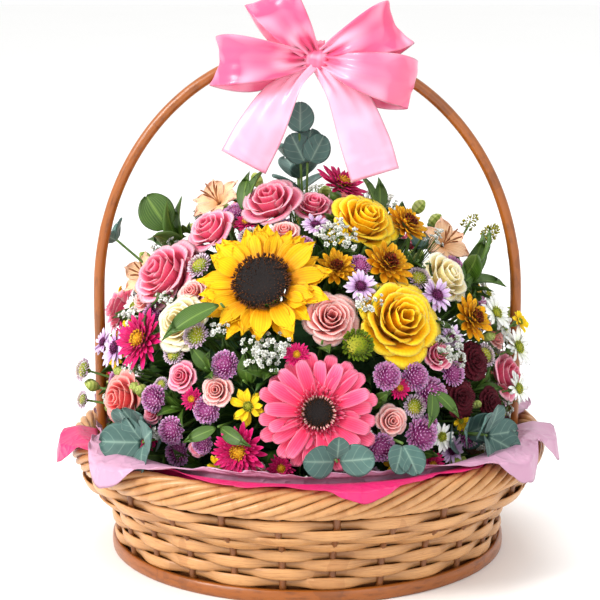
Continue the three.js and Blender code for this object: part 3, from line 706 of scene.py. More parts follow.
class Sheaf:
    """Gathers shells into one piece of the arrangement."""

    def __init__(self, *shells: Shell) -> None:
        """Starts with shells of the first finish, or with nothing."""
        self.shells: list[Shell] = list(shells)
        self.finishes: list[int] = [0] * len(shells)

    def add(self, shell: Shell, finish: int = 0) -> None:
        """Adds a shell with one of the piece's finishes."""
        self.shells.append(shell)
        self.finishes.append(finish)

    def piece(self, name: str, slot: str, finishes: list[Finish], nodes: tuple[str, ...] = (),
              uv: bool = False) -> bpy.types.Object:
        """Makes the mesh and its object, attaches it to the frame's body and hides the nodes that it replaces.

        Args:
            name: The piece's name.
            slot: Not used.
            finishes: The finishes, in the order of their numbers.
            nodes: The nodes that it replaces.
            uv: Whether the piece gets a map that runs along it.

        Returns:
            The piece.
        """
        whole = joined(self.shells)
        marks = whole.marks.astype(np.float32)
        number = np.repeat(self.finishes, [len(s.sizes) for s in self.shells])
        mesh = bare_mesh(name, whole, MM)
        for finish in finishes:
            mesh.materials.append(finish.material())
        mesh.polygons.foreach_set("material_index", number.astype(np.int32))
        mesh.attributes.new("petal", "FLOAT_COLOR", "POINT").data.foreach_set("color", marks.reshape(-1))
        if uv:
            run = mesh.uv_layers.new(name="run")
            run.data.foreach_set("uv", marks[whole.loops][:, :2].reshape(-1))
        mesh.validate()
        mesh.shade_smooth()
        made = in_scene(name, mesh)
        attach(made, BODY)
        if nodes:
            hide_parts(*nodes)
        LOG.info("%s: %d faces", name, len(whole.sizes))
        return made


class Tree(Wiring):
    """Builds one Geometry Nodes tree."""

    def __init__(self, name: str) -> None:
        """Starts an empty tree.

        Args:
            name: The tree's name.
        """
        self.tree = bpy.data.node_groups.new(name, "GeometryNodeTree")
        for way in ("INPUT", "OUTPUT"):
            self.tree.interface.new_socket("Geometry", in_out=way, socket_type="NodeSocketGeometry")
        self.inlet = self.tree.nodes.new("NodeGroupInput")
        self.outlet = self.tree.nodes.new("NodeGroupOutput")
        self.known: dict[str, str] = {}

    def sizes(self, kind: str, *names: str) -> list[Wire]:
        """Adds named inputs.

        Args:
            kind: Float, Int, Object or Material.
            names: The inputs' names.

        Returns:
            A wire from each.
        """
        for name in names:
            made = self.tree.interface.new_socket(name, in_out="INPUT", socket_type="NodeSocket" + kind)
            self.known[name] = made.identifier
        return [Wire(self, self.inlet.outputs[name]) for name in names]

    def node(self, kind: str, inputs: dict[str, object], **settings: object) -> Wire:
        """Adds a node and gives its first live output."""
        made = self.add(kind, inputs, **settings)
        return Wire(self, next(s for s in made.outputs if s.enabled))

    def vector(self, x: object, y: object, z: object) -> Wire:
        """Puts three numbers together."""
        return self.node("ShaderNodeCombineXYZ", {"X": x, "Y": y, "Z": z})

    def around(self, radius: object, angle: Wire, height: object) -> Wire:
        """Gives the place at a radius, an angle and a height."""
        return self.vector(radius * self.math("COSINE", angle), radius * self.math("SINE", angle), height)

    def chance(self, low: float, high: float, seed: object) -> Wire:
        """Gives each element its own number between two, from a fixed seed."""
        return self.node("FunctionNodeRandomValue", {"Min": low, "Max": high, "Seed": seed},
                         data_type="FLOAT")

    def store(self, geometry: object, name: str, value: object, domain: str) -> Wire:
        """Stores a number on the geometry under a name."""
        return self.node("GeometryNodeStoreNamedAttribute",
                         {"Geometry": geometry, "Name": name, "Value": value},
                         data_type="FLOAT", domain=domain)

    def read(self, name: str) -> Wire:
        """Reads a stored number."""
        return self.node("GeometryNodeInputNamedAttribute", {"Name": name}, data_type="FLOAT")

    def end(self, geometry: Wire, finish: Wire) -> None:
        """Ends the tree in plain geometry with its finish.

        Args:
            geometry: The last geometry.
            finish: The material.
        """
        real = self.node("GeometryNodeRealizeInstances", {"Geometry": geometry})
        dressed = self.node("GeometryNodeSetMaterial", {"Geometry": real, "Material": finish})
        self.feed(self.outlet.inputs[0], dressed)

    def repeat(self, inputs: dict[str, Wire], shape: Wire, size: Wire, seed: Wire, ring: Wire,
               finish: Wire) -> None:
        """Sets a shape on points, each with its own shade, and ends the tree.

        Args:
            inputs: The points and their rotation.
            shape: The shape.
            size: Its size on each point.
            seed: What sets the shades apart.
            ring: Each point's place from the heart outwards.
            finish: The material.
        """
        source = self.add("GeometryNodeObjectInfo", {"Object": shape}).outputs["Geometry"]
        placed = self.node("GeometryNodeInstanceOnPoints",
                           {**inputs, "Instance": source, "Scale": self.vector(size, size, size)})
        placed = self.store(placed, "shade", self.chance(0.0, 1.0, seed), "INSTANCE")
        self.end(self.store(placed, "ring", ring, "INSTANCE"), finish)

    def grow(self, values: dict[str, object], source: Shell | None = None,
             rows: list[dict[str, float]] | None = None) -> Shell:
        """Runs the tree once and gives its result as a plain shell.

        Args:
            values: The inputs, by name.
            source: The shape that the tree repeats, if it repeats one.
            rows: The points the tree starts from, each with its named numbers.

        Returns:
            The grown surface.
        """
        scratch = []
        if source is not None:
            values = {**values, "Shape": scratch_object(source)}
            scratch.append(values["Shape"])
        start = bpy.data.meshes.new("start")
        if rows:
            start.vertices.add(len(rows))
            for key in rows[0]:
                layer = start.attributes.new(key, "FLOAT", "POINT")
                layer.data.foreach_set("value", [row[key] for row in rows])
        holder = in_scene("holder", start)
        scratch.append(holder)
        modifier = holder.modifiers.new("grow", "NODES")
        modifier.node_group = self.tree
        for key, value in values.items():
            modifier[self.known[key]] = value
        graph = bpy.context.evaluated_depsgraph_get()
        mesh = bpy.data.meshes.new_from_object(holder.evaluated_get(graph),
                                               preserve_all_data_layers=True, depsgraph=graph)
        holder.modifiers.remove(modifier)
        shell = as_shell(mesh)
        bpy.data.meshes.remove(mesh)
        for item in scratch:
            data = item.data
            bpy.data.objects.remove(item)
            bpy.data.meshes.remove(data)
        return shell


def scratch_object(shell: Shell) -> bpy.types.Object:
    """Makes a helper object that a tree repeats.

    Args:
        shell: Its shape.

    Returns:
        The object.
    """
    mesh = bare_mesh("shape", shell)
    layer = mesh.attributes.new("leafmap", "FLOAT_VECTOR", "POINT")
    layer.data.foreach_set("vector", shell.marks[:, :3].astype(np.float32).reshape(-1))
    return in_scene("shape", mesh)


def as_shell(mesh: bpy.types.Mesh) -> Shell:
    """Reads a mesh back as a shell.

    Args:
        mesh: The mesh.

    Returns:
        The shell, with what the tree stored as petal coordinates.
    """
    count = len(mesh.vertices)
    points = np.zeros(count * 3, np.float32)
    mesh.vertices.foreach_get("co", points)
    loops = np.zeros(len(mesh.loops), np.int32)
    mesh.loops.foreach_get("vertex_index", loops)
    sizes = np.zeros(len(mesh.polygons), np.int32)
    mesh.polygons.foreach_get("loop_total", sizes)
    marks = np.zeros((count, 4))
    if "leafmap" in mesh.attributes:
        flat = np.zeros(count * 3, np.float32)
        mesh.attributes["leafmap"].data.foreach_get("vector", flat)
        marks[:, :3] = flat.reshape(-1, 3)
    for column, key in enumerate(PETAL_KEYS):
        if key in mesh.attributes:
            flat = np.zeros(count, np.float32)
            mesh.attributes[key].data.foreach_get("value", flat)
            marks[:, column] = flat
    return Shell(points.reshape(-1, 3).astype(float), loops, sizes, marks)


def whorl_tree() -> Tree:
    """Makes the tree that sets a petal in whorls round an axis.

    Returns:
        The tree.
    """
    t = Tree("petal_whorls")
    shape, = t.sizes("Object", "Shape")
    finish, = t.sizes("Material", "Finish")
    petals, whorls, seed = t.sizes("Int", "Petals", "Whorls", "Seed")
    root, lift, tilt = t.sizes("Float", "Root Radius", "Whorl Lift", "Tilt")
    step, shrink, jitter = t.sizes("Float", "Tilt Step", "Shrink", "Jitter")
    index = t.node("GeometryNodeInputIndex", {})
    whorl = t.math("FLOOR", index / petals)
    sway = t.chance(-1.0, 1.0, seed) * jitter
    angle = (index % petals + whorl * 0.47 + sway) / petals * TURN
    small = 1.0 - whorl * shrink
    spot = t.around(root * small, angle, whorl * lift)
    points = t.node("GeometryNodePoints", {"Count": petals * whorls, "Position": spot})
    nod = t.chance(-1.0, 1.0, seed + 1.0) * (jitter * 0.5)
    lean = tilt + whorl * step + nod
    turn = t.node("FunctionNodeEulerToRotation", {"Euler": t.vector(sway, lean * -1.0, angle)})
    grow = t.chance(-1.0, 1.0, seed + 2.0) * (jitter * 0.4)
    t.repeat({"Points": points, "Rotation": turn}, shape, small * (1.0 + grow), seed + 3.0,
             1.0 - whorl / whorls, finish)
    return t


def dome_tree() -> Tree:
    """Makes the tree that sets a floret or leaf in a spiral over a dome.

    Returns:
        The tree.
    """
    t = Tree("floret_dome")
    shape, = t.sizes("Object", "Shape")
    finish, = t.sizes("Material", "Finish")
    count, seed = t.sizes("Int", "Florets", "Seed")
    radius, flat, opening, start = t.sizes("Float", "Radius", "Height Share", "Opening", "Start")
    splay, inner, outer, jitter, spin = t.sizes("Float", "Splay", "Inner Size", "Outer Size", "Jitter",
                                                "Spin")
    index = t.node("GeometryNodeInputIndex", {})
    ring = t.math("SQRT", start + (index + 0.5) / count * (1.0 - start))
    sway = t.chance(-1.0, 1.0, seed) * jitter
    polar = ring * opening + sway * 0.25
    angle = index * GOLDEN_TURN + sway * 0.6
    spot = t.around(radius * t.math("SINE", polar), angle, radius * flat * t.math("COSINE", polar))
    points = t.node("GeometryNodePoints", {"Count": count, "Position": spot})
    nod = t.chance(-1.0, 1.0, seed + 1.0) * jitter
    lean = polar - math.pi / 2 + (splay * ring + nod)
    roll = t.chance(-1.0, 1.0, seed + 2.0) * spin
    turn = t.node("FunctionNodeEulerToRotation", {"Euler": t.vector(roll, lean, angle)})
    grow = 1.0 + t.chance(-1.0, 1.0, seed + 3.0) * jitter
    size = (inner + ring * (outer - inner)) * grow
    t.repeat({"Points": points, "Rotation": turn}, shape, size, seed + 4.0, ring, finish)
    return t


def weave_tree() -> Tree:
    """Makes the tree that weaves flat willow rods over and under upright stakes.

    Each starting point is a row, with its radius, height, slope, half height and which stakes
    it passes over.

    Returns:
        The tree.
    """
    t = Tree("willow_weave")
    finish, = t.sizes("Material", "Finish")
    stakes, steps, sides, seed = t.sizes("Int", "Stakes", "Steps", "Sides", "Seed")
    relief, thick, swell = t.sizes("Float", "Relief", "Half Thickness", "Swell")
    columns = stakes * steps + 1.0
    count = sides + 1.0
    band = t.node("GeometryNodeMeshGrid", {"Vertices X": columns, "Vertices Y": count})
    index = t.node("GeometryNodeInputIndex", {})
    band = t.store(band, "along", t.math("FLOOR", index / count) / (columns - 1.0), "POINT")
    band = t.store(band, "section", index % count / sides, "POINT")
    placed = t.node("GeometryNodeInstanceOnPoints", {"Points": t.inlet.outputs[0], "Instance": band})
    real = t.node("GeometryNodeRealizeInstances", {"Geometry": placed})
    along, row, height, slope = (t.read(name) for name in ("along", "over", "height", "slope"))
    angle = along * TURN
    section = t.read("section") * -TURN
    over = t.math("COSINE", (along * stakes + row) * math.pi)
    firm = over * (1.5 - over * over * 0.5)
    wander = t.node("ShaderNodeTexNoise", {"Vector": t.around(3.0, angle, height * 0.6), "Scale": 1.6,
                                           "Detail": 2.0}) - 0.5
    half = t.read("half") * (1.0 + over * swell + wander * 0.5)
    out = thick * t.math("COSINE", section)
    up = half * t.math("SINE", section)
    flat, steep = t.math("COSINE", slope), t.math("SINE", slope)
    far = t.read("radius") + firm * relief + (out * flat + up * steep)
    high = height + (up * flat - out * steep) + wander * 1.6
    moved = t.node("GeometryNodeSetPosition", {"Geometry": real, "Position": t.around(far, angle, high)})
    moved = t.store(moved, "ring", row * 1.7, "POINT")
    moved = t.store(moved, "across", t.math("SINE", section), "POINT")
    # Painted shade: a weaver darkens where it passes behind a stake, with a little random tone
    shade = (1.0 - over) * 0.32 + t.chance(0.0, 0.06, seed)
    moved = t.store(moved, "shade", shade, "POINT")
    t.end(t.node("GeometryNodeMergeByDistance", {"Geometry": moved, "Distance": 0.001}), finish)
    return t


def plait_tree() -> Tree:
    """Makes the tree that winds one long strand round the rim until it closes on itself.

    Returns:
        The tree.
    """
    t = Tree("rim_plait")
    finish, = t.sizes("Material", "Finish")
    rounds, turns, steps, sides = t.sizes("Int", "Rounds", "Turns", "Steps", "Sides")
    radius, height, wide = t.sizes("Float", "Rim Radius", "Rim Height", "Half Width")
    tall, strand = t.sizes("Float", "Half Height", "Strand Radius")
    line = t.node("GeometryNodeCurvePrimitiveCircle", {"Resolution": steps}, mode="RADIUS")
    share = t.node("GeometryNodeInputIndex", {}) / steps
    twist = share * turns * TURN
    spot = t.around(radius + wide * t.math("COSINE", twist), share * rounds * TURN,
                    height + tall * t.math("SINE", twist))
    line = t.node("GeometryNodeSetPosition", {"Geometry": line, "Position": spot})
    line = t.store(line, "along", share * rounds, "POINT")
    line = t.store(line, "ring", t.math("FLOOR", share * turns), "POINT")
    profile = t.node("GeometryNodeCurvePrimitiveCircle", {"Resolution": sides, "Radius": strand},
                     mode="RADIUS")
    t.end(t.node("GeometryNodeCurveToMesh", {"Curve": line, "Profile Curve": profile}), finish)
    return t


@dataclass(frozen=True)
class Petal:
    """A petal or leaf that grows along +X from the origin; lengths are shares of its flower."""

    length: float
    width: float
    root: float = 0.35
    waist: float = 0.6
    tip: float = 0.4
    point: float = 0.15
    cup: float = 0.1
    rise: float = 0.0
    fall: float = 0.0
    ruffle: float = 0.0
    waves: float = 2.0
    fold: float = 0.0
    columns: int = 5
    rows: int = 7
    thickness: float = 0.4
    blunt: float = 1.0

    def grid(self, scale: float, phase: float = 0.0) -> np.ndarray:
        """Lays out the petal's points.

        Args:
            scale: The flower's radius.
            phase: Where its ruffle starts.

        Returns:
            The points, by row and column.
        """
        even = np.linspace(-1, 1, self.columns)
        u = 0.5 * even + 0.5 * np.sin(even * math.pi / 2)
        run = np.linspace(0, 1, self.rows)
        v = 0.6 * run + 0.4 * np.sin(run * math.pi / 2)
        uu, vv = np.meshgrid(u, v)
        opened = np.sin(math.pi / 2 * np.minimum(vv / self.waist, 1)) ** self.blunt
        grown = self.root + (1 - self.root) * opened
        past = np.clip((vv - self.waist) / (1 - self.waist), 0, 1)
        narrowed = np.maximum(np.cos(math.pi / 2 * past), 0.0) ** self.blunt
        share = np.where(vv < self.waist, grown, self.tip + (1 - self.tip) * narrowed)
        length = self.length * scale
        width = self.width * scale
        s = vv * (1 - self.point * uu ** 2 * vv ** 3)
        start = math.radians(self.rise)
        bend = math.radians(self.fall - self.rise) + 1e-6
        angle = start + bend * s
        x = length * (np.sin(angle) - math.sin(start)) / bend
        z = -length * (np.cos(angle) - math.cos(start)) / bend
        lift = self.cup * width * uu ** 2 * np.sqrt(vv)
        lift = lift + self.fold * width * np.cos(uu * TURN) * vv * (1 - 0.5 * vv)
        lift = lift + self.ruffle * length * np.sin(uu * self.waves * math.pi + phase + 3 * vv) * vv ** 2
        return np.stack([x - np.sin(angle) * lift, uu * share * width / 2, z + np.cos(angle) * lift],
                        axis=-1)

    def shell(self, scale: float, shade: float = 0.5, phase: float = 0.0) -> Shell:
        """Makes the petal as a thin closed shell."""
        return lens(self.grid(scale, phase), self.thickness, shade)


def toward(azimuth: float, elevation: float) -> np.ndarray:
    """Gives a direction from the focus.

    Args:
        azimuth: Degrees from the front towards +X.
        elevation: Degrees above the horizon.

    Returns:
        The direction.
    """
    a, e = math.radians(azimuth), math.radians(elevation)
    return np.array([math.sin(a) * math.cos(e), -math.cos(a) * math.cos(e), math.sin(e)])


def on_mound(azimuth: float, elevation: float, reach: float) -> np.ndarray:
    """Gives the point of the mound at a distance from the focus."""
    return FOCUS + toward(azimuth, elevation) * reach


def facing(azimuth: float, elevation: float, share: float = 0.85) -> np.ndarray:
    """Gives the way a head looks, a little flatter and further to the front than its stem."""
    turned_to = azimuth if abs(azimuth) > 100 else azimuth * share
    return toward(turned_to, elevation * 0.68 + 3)


def upright(direction: np.ndarray, spin: float = 0.0) -> np.ndarray:
    """Gives the turn that brings +Z to a direction.

    Args:
        direction: The direction.
        spin: A turn round +Z before it, in radians.

    Returns:
        A rotation matrix.
    """
    z = direction / np.linalg.norm(direction)
    x = np.cross([0.0, 1.0, 0.0], z)
    if np.linalg.norm(x) < 1e-6:
        x = np.array([1.0, 0.0, 0.0])
    x = x / np.linalg.norm(x)
    y = np.cross(z, x)
    c, s = math.cos(spin), math.sin(spin)
    return np.stack([x * c + y * s, y * c - x * s, z], axis=1)


def along_to(direction: np.ndarray, face: np.ndarray) -> np.ndarray:
    """Gives the turn that brings +X to a direction and +Z towards a face.

    Args:
        direction: The direction.
        face: The way that the face looks.

    Returns:
        A rotation matrix.
    """
    x = direction / np.linalg.norm(direction)
    z = face - x * face.dot(x)
    z = z / np.linalg.norm(z)
    return np.stack([x, np.cross(z, x), z], axis=1)


def rod(start: np.ndarray, end: np.ndarray, radius: float, bow: float = 0.0, sides: int = 6) -> Shell:
    """Makes a stem between two points, a little bent.

    Args:
        start: Where it starts.
        end: Where it ends.
        radius: Its radius.
        bow: How far its middle stands off the straight line.
        sides: How many sides it has.

    Returns:
        The stem.
    """
    stations = 7
    t = np.linspace(0, 1, stations)[:, None]
    side = np.cross(end - start, [0.3, 0.2, 1.0])
    side = side / max(np.linalg.norm(side), 1e-9)
    path = start + (end - start) * t + side * bow * np.sin(math.pi * t)
    return tube(path, np.full(stations, radius) * np.linspace(1.1, 0.9, stations), sides, 0.5)


@dataclass
class Trees:
    """The four trees that repeat shapes."""

    whorl: Tree = field(default_factory=whorl_tree)
    dome: Tree = field(default_factory=dome_tree)
    weave: Tree = field(default_factory=weave_tree)
    plait: Tree = field(default_factory=plait_tree)


class Kind(Enum):
    """The kinds of head."""

    SUNFLOWER = "sunflower"
    GERBERA = "gerbera"
    ROSE = "rose"
    SPRAY_ROSE = "spray rose"
    ASTER = "aster"
    BRONZE = "bronze chrysanthemum"
    DAISY = "daisy"
    GOLD_DAISY = "gold daisy"
    POMPON = "pompon"
    BUTTON = "button"
    CARNATION = "carnation"
    LILY = "lily"
    BUD = "bud"


@dataclass(frozen=True)
class Rays:
    """Whorls of one petal: how many, how steep and how they shrink inwards."""

    petal: Petal
    petals: int
    whorls: int
    root: float
    lift: float = 0.05
    tilt: float = 0.1
    step: float = 0.15
    shrink: float = 0.1
    jitter: float = 0.25


@dataclass(frozen=True)
class Dome:
    """A dome of florets: how many, how high and how they splay."""

    petal: Petal
    florets: int
    radius: float
    height: float = 0.7
    opening: float = 1.5
    splay: float = 0.0
    inner: float = 0.5
    outer: float = 1.0
    jitter: float = 0.12
    start: float = 0.0


FLORET = Petal(0.36, 0.24, root=0.5, waist=0.7, tip=0.6, point=0.1, cup=0.25, rise=0, fall=35,
               columns=3, rows=4, thickness=0.35)
BEAD = Petal(0.1, 0.07, root=0.6, waist=0.5, tip=0.3, cup=0.1, columns=3, rows=3, thickness=0.8)
RAYS: dict[Kind, list[Rays]] = {
    Kind.SUNFLOWER: [
        Rays(Petal(0.63, 0.33, root=0.5, waist=0.5, tip=0.18, point=0.2, cup=0.08, rise=3, fall=-8,
                   fold=0.05, ruffle=0.035, columns=9, rows=9, thickness=0.5), 13, 2, 0.38, 0.035, 0.06,
                   0.12, 0.06, 0.3),
        Rays(Petal(0.45, 0.27, root=0.5, waist=0.5, tip=0.18, point=0.2, cup=0.1, rise=12, fall=-4,
                   fold=0.05, ruffle=0.035, columns=9, rows=8, thickness=0.5), 13, 1, 0.39, 0.0, 0.18, 0.1,
                   0.0, 0.4)],
    Kind.GERBERA: [
        Rays(Petal(0.79, 0.27, root=0.45, waist=0.66, tip=0.72, point=0.06, cup=0.08, rise=8, fall=-6,
                   fold=0.05, columns=7, rows=9, thickness=0.45), 17, 2, 0.2, 0.03, 0.08, 0.12, 0.08, 0.2),
        Rays(Petal(0.46, 0.17, root=0.5, waist=0.66, tip=0.4, point=0.14, cup=0.08, rise=12, fall=-6,
                   fold=0.05, columns=5, rows=7, thickness=0.45), 17, 1, 0.24, 0.0, 0.26, 0.1, 0.0, 0.3),
        Rays(Petal(0.2, 0.07, root=0.6, waist=0.6, tip=0.4, point=0.2, cup=0.2, rise=50, fall=-10,
                   columns=3, rows=5, thickness=0.3), 30, 3, 0.33, 0.03, 0.35, 0.2, 0.12, 0.5)],
    Kind.ASTER: [
        Rays(Petal(0.84, 0.21, root=0.5, waist=0.62, tip=0.5, point=0.12, cup=0.16, rise=6, fall=10,
                   columns=5, rows=6, thickness=0.35), 17, 4, 0.18, 0.04, 0.02, 0.2, 0.14, 0.3)],
    Kind.BRONZE: [
        Rays(Petal(0.88, 0.3, root=0.3, waist=0.72, tip=0.6, point=0.12, cup=0.22, rise=-2, fall=26,
                   columns=5, rows=7, thickness=0.35), 12, 5, 0.12, 0.045, -0.02, 0.22, 0.16, 0.25)],
    Kind.DAISY: [
        Rays(Petal(0.82, 0.27, root=0.35, waist=0.65, tip=0.55, point=0.14, cup=0.1, rise=8, fall=-10,
                   fold=0.05, columns=5, rows=7, thickness=0.35), 12, 2, 0.18, 0.03, 0.08, 0.14, 0.08,
                   0.4)],
    Kind.GOLD_DAISY: [
        Rays(Petal(0.8, 0.4, root=0.35, waist=0.62, tip=0.5, point=0.2, cup=0.16, rise=12, fall=-14,
                   fold=0.06, ruffle=0.04, columns=7, rows=7, thickness=0.35), 7, 2, 0.16, 0.03, 0.1, 0.25,
                   0.12, 0.5)],
}
DOMES: dict[Kind, Dome] = {
    Kind.POMPON: Dome(FLORET, 120, 0.66, 0.75, 1.75, 0.1, 0.45, 1.0),
    Kind.BUTTON: Dome(replace(FLORET, width=0.18), 110, 0.7, 0.5, 1.6, 0.3, 0.35, 0.95),
}
# How high the heart sits, as a share of the head's radius, and its dome
CENTRES: dict[Kind, tuple[float, Dome]] = {
    Kind.ASTER: (0.22, Dome(BEAD, 46, 0.24, 0.6, 1.5, 0.0, 1.0, 1.0)),
    Kind.BRONZE: (0.3, Dome(FLORET, 26, 0.1, 0.6, 1.4, 0.3, 0.5, 0.8)),
    Kind.DAISY: (0.08, Dome(BEAD, 54, 0.27, 0.5, 1.5, 0.0, 1.0, 1.0)),
    Kind.GOLD_DAISY: (0.08, Dome(BEAD, 40, 0.22, 0.5, 1.5, 0.0, 1.0, 1.0)),
}
# Rim radius, rim height, petals and span in degrees of each layer of a rose, from the outside in
ROSES: dict[Kind, list[tuple[float, float, int, float]]] = {
    Kind.ROSE: [(1.0, 0.06, 5, 92), (0.82, 0.25, 5, 98), (0.6, 0.4, 4, 118), (0.42, 0.5, 3, 150),
                (0.27, 0.55, 3, 160), (0.14, 0.57, 2, 210)],
    Kind.SPRAY_ROSE: [(1.0, 0.1, 5, 94), (0.74, 0.33, 4, 116), (0.48, 0.48, 3, 150), (0.28, 0.56, 3, 160),
                      (0.13, 0.58, 2, 210)],
}
# Petals, size and tilt in degrees of each fan of a carnation, from the outside in
CARNATION_FANS = [(7, 1.0, -18), (6, 0.88, 2), (6, 0.76, 20), (5, 0.64, 38), (4, 0.56, 58), (3, 0.5, 78)]
# Radius and height of a head's calyx, as shares of the head's radius
CALYX_PROFILE = [(0.0, -0.62), (0.16, -0.6), (0.24, -0.42), (0.2, -0.3), (0.0, -0.3)]
# Radius and height of a bud, as shares of its radius and length
BUD_PROFILE = [(0.0, -0.35), (0.4, -0.28), (0.82, -0.1), (1.0, 0.12), (0.98, 0.3), (0.7, 0.48), (0.35, 0.6),
               (0.0, 0.66)]


class Florist:
    """Makes heads of every kind round +Z, each as shells with finish numbers.

    Finish 0 is the petals', 1 the heart's and 2 the green of stems and calyx.
    """

    def __init__(self, trees: Trees) -> None:
        """Keeps the trees.

        Args:
            trees: The trees that repeat shapes.
        """
        self.trees = trees
        self.rng = np.random.default_rng(21)
        self.count = 0
        self.blank = PlainFinish("blank", (0.5, 0.5, 0.5), (0.4, 0.4, 0.4), 9.0, 0.5, 0.0).material()

    def whorls(self, rays: Rays, radius: float) -> Shell:
        """Sets petals in whorls.

        Args:
            rays: The whorls.
            radius: The flower's radius.

        Returns:
            The petals.
        """
        self.count += 1
        values = {"Finish": self.blank, "Petals": rays.petals, "Whorls": rays.whorls,
                  "Root Radius": rays.root * radius, "Whorl Lift": rays.lift * radius, "Tilt": rays.tilt,
                  "Tilt Step": rays.step, "Shrink": rays.shrink, "Jitter": rays.jitter,
                  "Seed": 7 * self.count}
        return self.trees.whorl.grow(values, rays.petal.shell(radius, 0.5, self.count))

    def dome(self, dome: Dome, radius: float) -> Shell:
        """Sets florets over a dome.

        Args:
            dome: The dome.
            radius: The flower's radius.

        Returns:
            The florets.
        """
        self.count += 1
        return self.cover(dome, radius, dome.petal.shell(radius), 0.3, 11 * self.count)

    def cover(self, dome: Dome, radius: float, shape: Shell, spin: float, seed: int) -> Shell:
        """Sets a shape over a dome.

        Args:
            dome: The dome.
            radius: The radius that the dome's own is a share of.
            shape: The shape.
            spin: How far each one may roll.
            seed: What sets the places apart.

        Returns:
            The covered dome.
        """
        values = {"Finish": self.blank, "Florets": dome.florets, "Radius": dome.radius * radius,
                  "Height Share": dome.height, "Opening": dome.opening, "Splay": dome.splay,
                  "Inner Size": dome.inner, "Outer Size": dome.outer, "Jitter": dome.jitter,
                  "Start": dome.start, "Spin": spin, "Seed": seed}
        return self.trees.dome.grow(values, shape)

    def rose(self, radius: float, layers: list[tuple[float, float, int, float]]) -> list[Shell]:
        """Wraps petals in layers round the heart, their rims rolled outwards.

        Args:
            radius: The rose's radius.
            layers: Rim radius, rim height, petals and span of each layer.

        Returns:
            The petals.
        """
        shells = []
        for k, (rim, height, petals, span) in enumerate(layers):
            inward = k / (len(layers) - 1)
            for i in range(petals):
                centre = TURN * (i / petals + 0.37 * k) + self.rng.uniform(-0.12, 0.12)
                wide = math.radians(span) * self.rng.uniform(0.94, 1.06)
                grow = 1 + self.rng.uniform(-0.05, 0.05)
                lean = self.rng.uniform(-0.04, 0.04)
                columns = 13 if radius > 18 else 9
                even = np.linspace(-1, 1, columns)
                u = 0.5 * even + 0.5 * np.sin(even * math.pi / 2)
                v = np.linspace(0, 1, 9) ** 0.85
                uu, vv = np.meshgrid(u, v)
                top = 1 - (0.3 - 0.18 * inward) * np.abs(uu) ** 2.4
                s = vv * top
                spread = 0.45 + 0.55 * np.sin(math.pi / 2 * np.minimum(s * 1.25, 1))
                angle = centre + uu * wide / 2 * spread
                radii = (0.1 + 0.1 * (1 - inward), rim * (0.62 + 0.42 * inward), rim * (0.8 + 0.2 * inward),
                         rim * grow)
                heights = (-0.46, -0.32 + 0.12 * inward, (height + lean) * 0.8 - 0.02, height + lean)
                shares = ((1 - s) ** 3, 3 * s * (1 - s) ** 2, 3 * s ** 2 * (1 - s), s ** 3)
                r = sum(share * far for share, far in zip(shares, radii))
                z = sum(share * high for share, high in zip(shares, heights))
                over = np.clip((s - 0.66) / 0.34, 0, 1) ** 1.7
                roll = (0.19 - 0.15 * inward) * over * (0.6 + 0.6 * np.abs(uu) ** 1.5)
                r = r + roll - 0.085 * rim * uu * (1 - 0.3 * inward)
                r = r + 0.022 * np.sin(uu * 7 + i + k) * s ** 3
                z = z - roll * 0.85 * (1 - 0.7 * inward)
                z = z + 0.03 * np.sin(uu * 5 + i * 2 + k) * s ** 3
                grid = np.stack([r * np.cos(angle), r * np.sin(angle), z], axis=-1) * radius
                shells.append(lens(grid, 0.5, self.rng.uniform(0.1, 0.9), 1 - inward))
        return shells

    def carnation(self, radius: float) -> list[Shell]:
        """Makes ruffled fans of petals, steeper towards the middle.

        Args:
            radius: The carnation's radius.

        Returns:
            The petals.
        """
        shells = []
        petal = Petal(0.98, 0.85, root=0.15, waist=0.9, tip=0.9, point=0.14, cup=0.1,
                      ruffle=0.09, waves=6.5, columns=17, rows=8, thickness=0.35)
        low = np.array([0.0, 0.0, -0.42 * radius])
        for k, (count, grow, tilt) in enumerate(CARNATION_FANS):
            shape = replace(petal, rise=55 + tilt * 0.4, fall=-12 + tilt * 1.3)
            for i in range(count):
                angle = TURN * (i + 0.5 * k) / count + self.rng.uniform(-0.2, 0.2)
                shell = shape.shell(radius * grow, self.rng.uniform(0, 1), self.rng.uniform(0, 6))
                shell.marks[:, 3] = 1 - k / 6
                shells.append(shell.moved(upright(UP, angle), low))
        return shells

    def lily(self, radius: float) -> list[tuple[Shell, int]]:
        """Makes six broad petals on a funnel, with stamens.

        Args:
            radius: The flower's radius.

        Returns:
            Its shells, each with a finish number.
        """
        shells = []
        low = np.array([0.0, 0.0, -0.4 * radius])
        for i in range(6):
            petal = Petal(1.2, 0.56 if i % 2 else 0.8, root=0.25, waist=0.62, tip=0.3, point=0.24, cup=0.1,
                          rise=44, fall=-4 - 12 * (i % 2), fold=0.04, ruffle=0.025, columns=9, rows=10,
                          thickness=0.45)
            shell = petal.shell(radius, 0.5 + 0.4 * (i % 2), i)
            shells.append((shell.moved(upright(UP, math.pi * i / 3 + 0.1), low), 0))
        t = np.linspace(0, 1, 6)[:, None]
        for i in range(6):
            angle = math.pi * i / 3 + 0.4
            out = np.array([math.cos(angle), math.sin(angle), 0.0])
            path = (np.array([0, 0, -0.5]) + np.array([0, 0, 1.05]) * t + out * 0.34 * t ** 2) * radius
            shells.append((tube(path, np.array([0.5, 0.45, 0.4, 0.4, 0.9, 0.6]), 5), 1))
        return shells

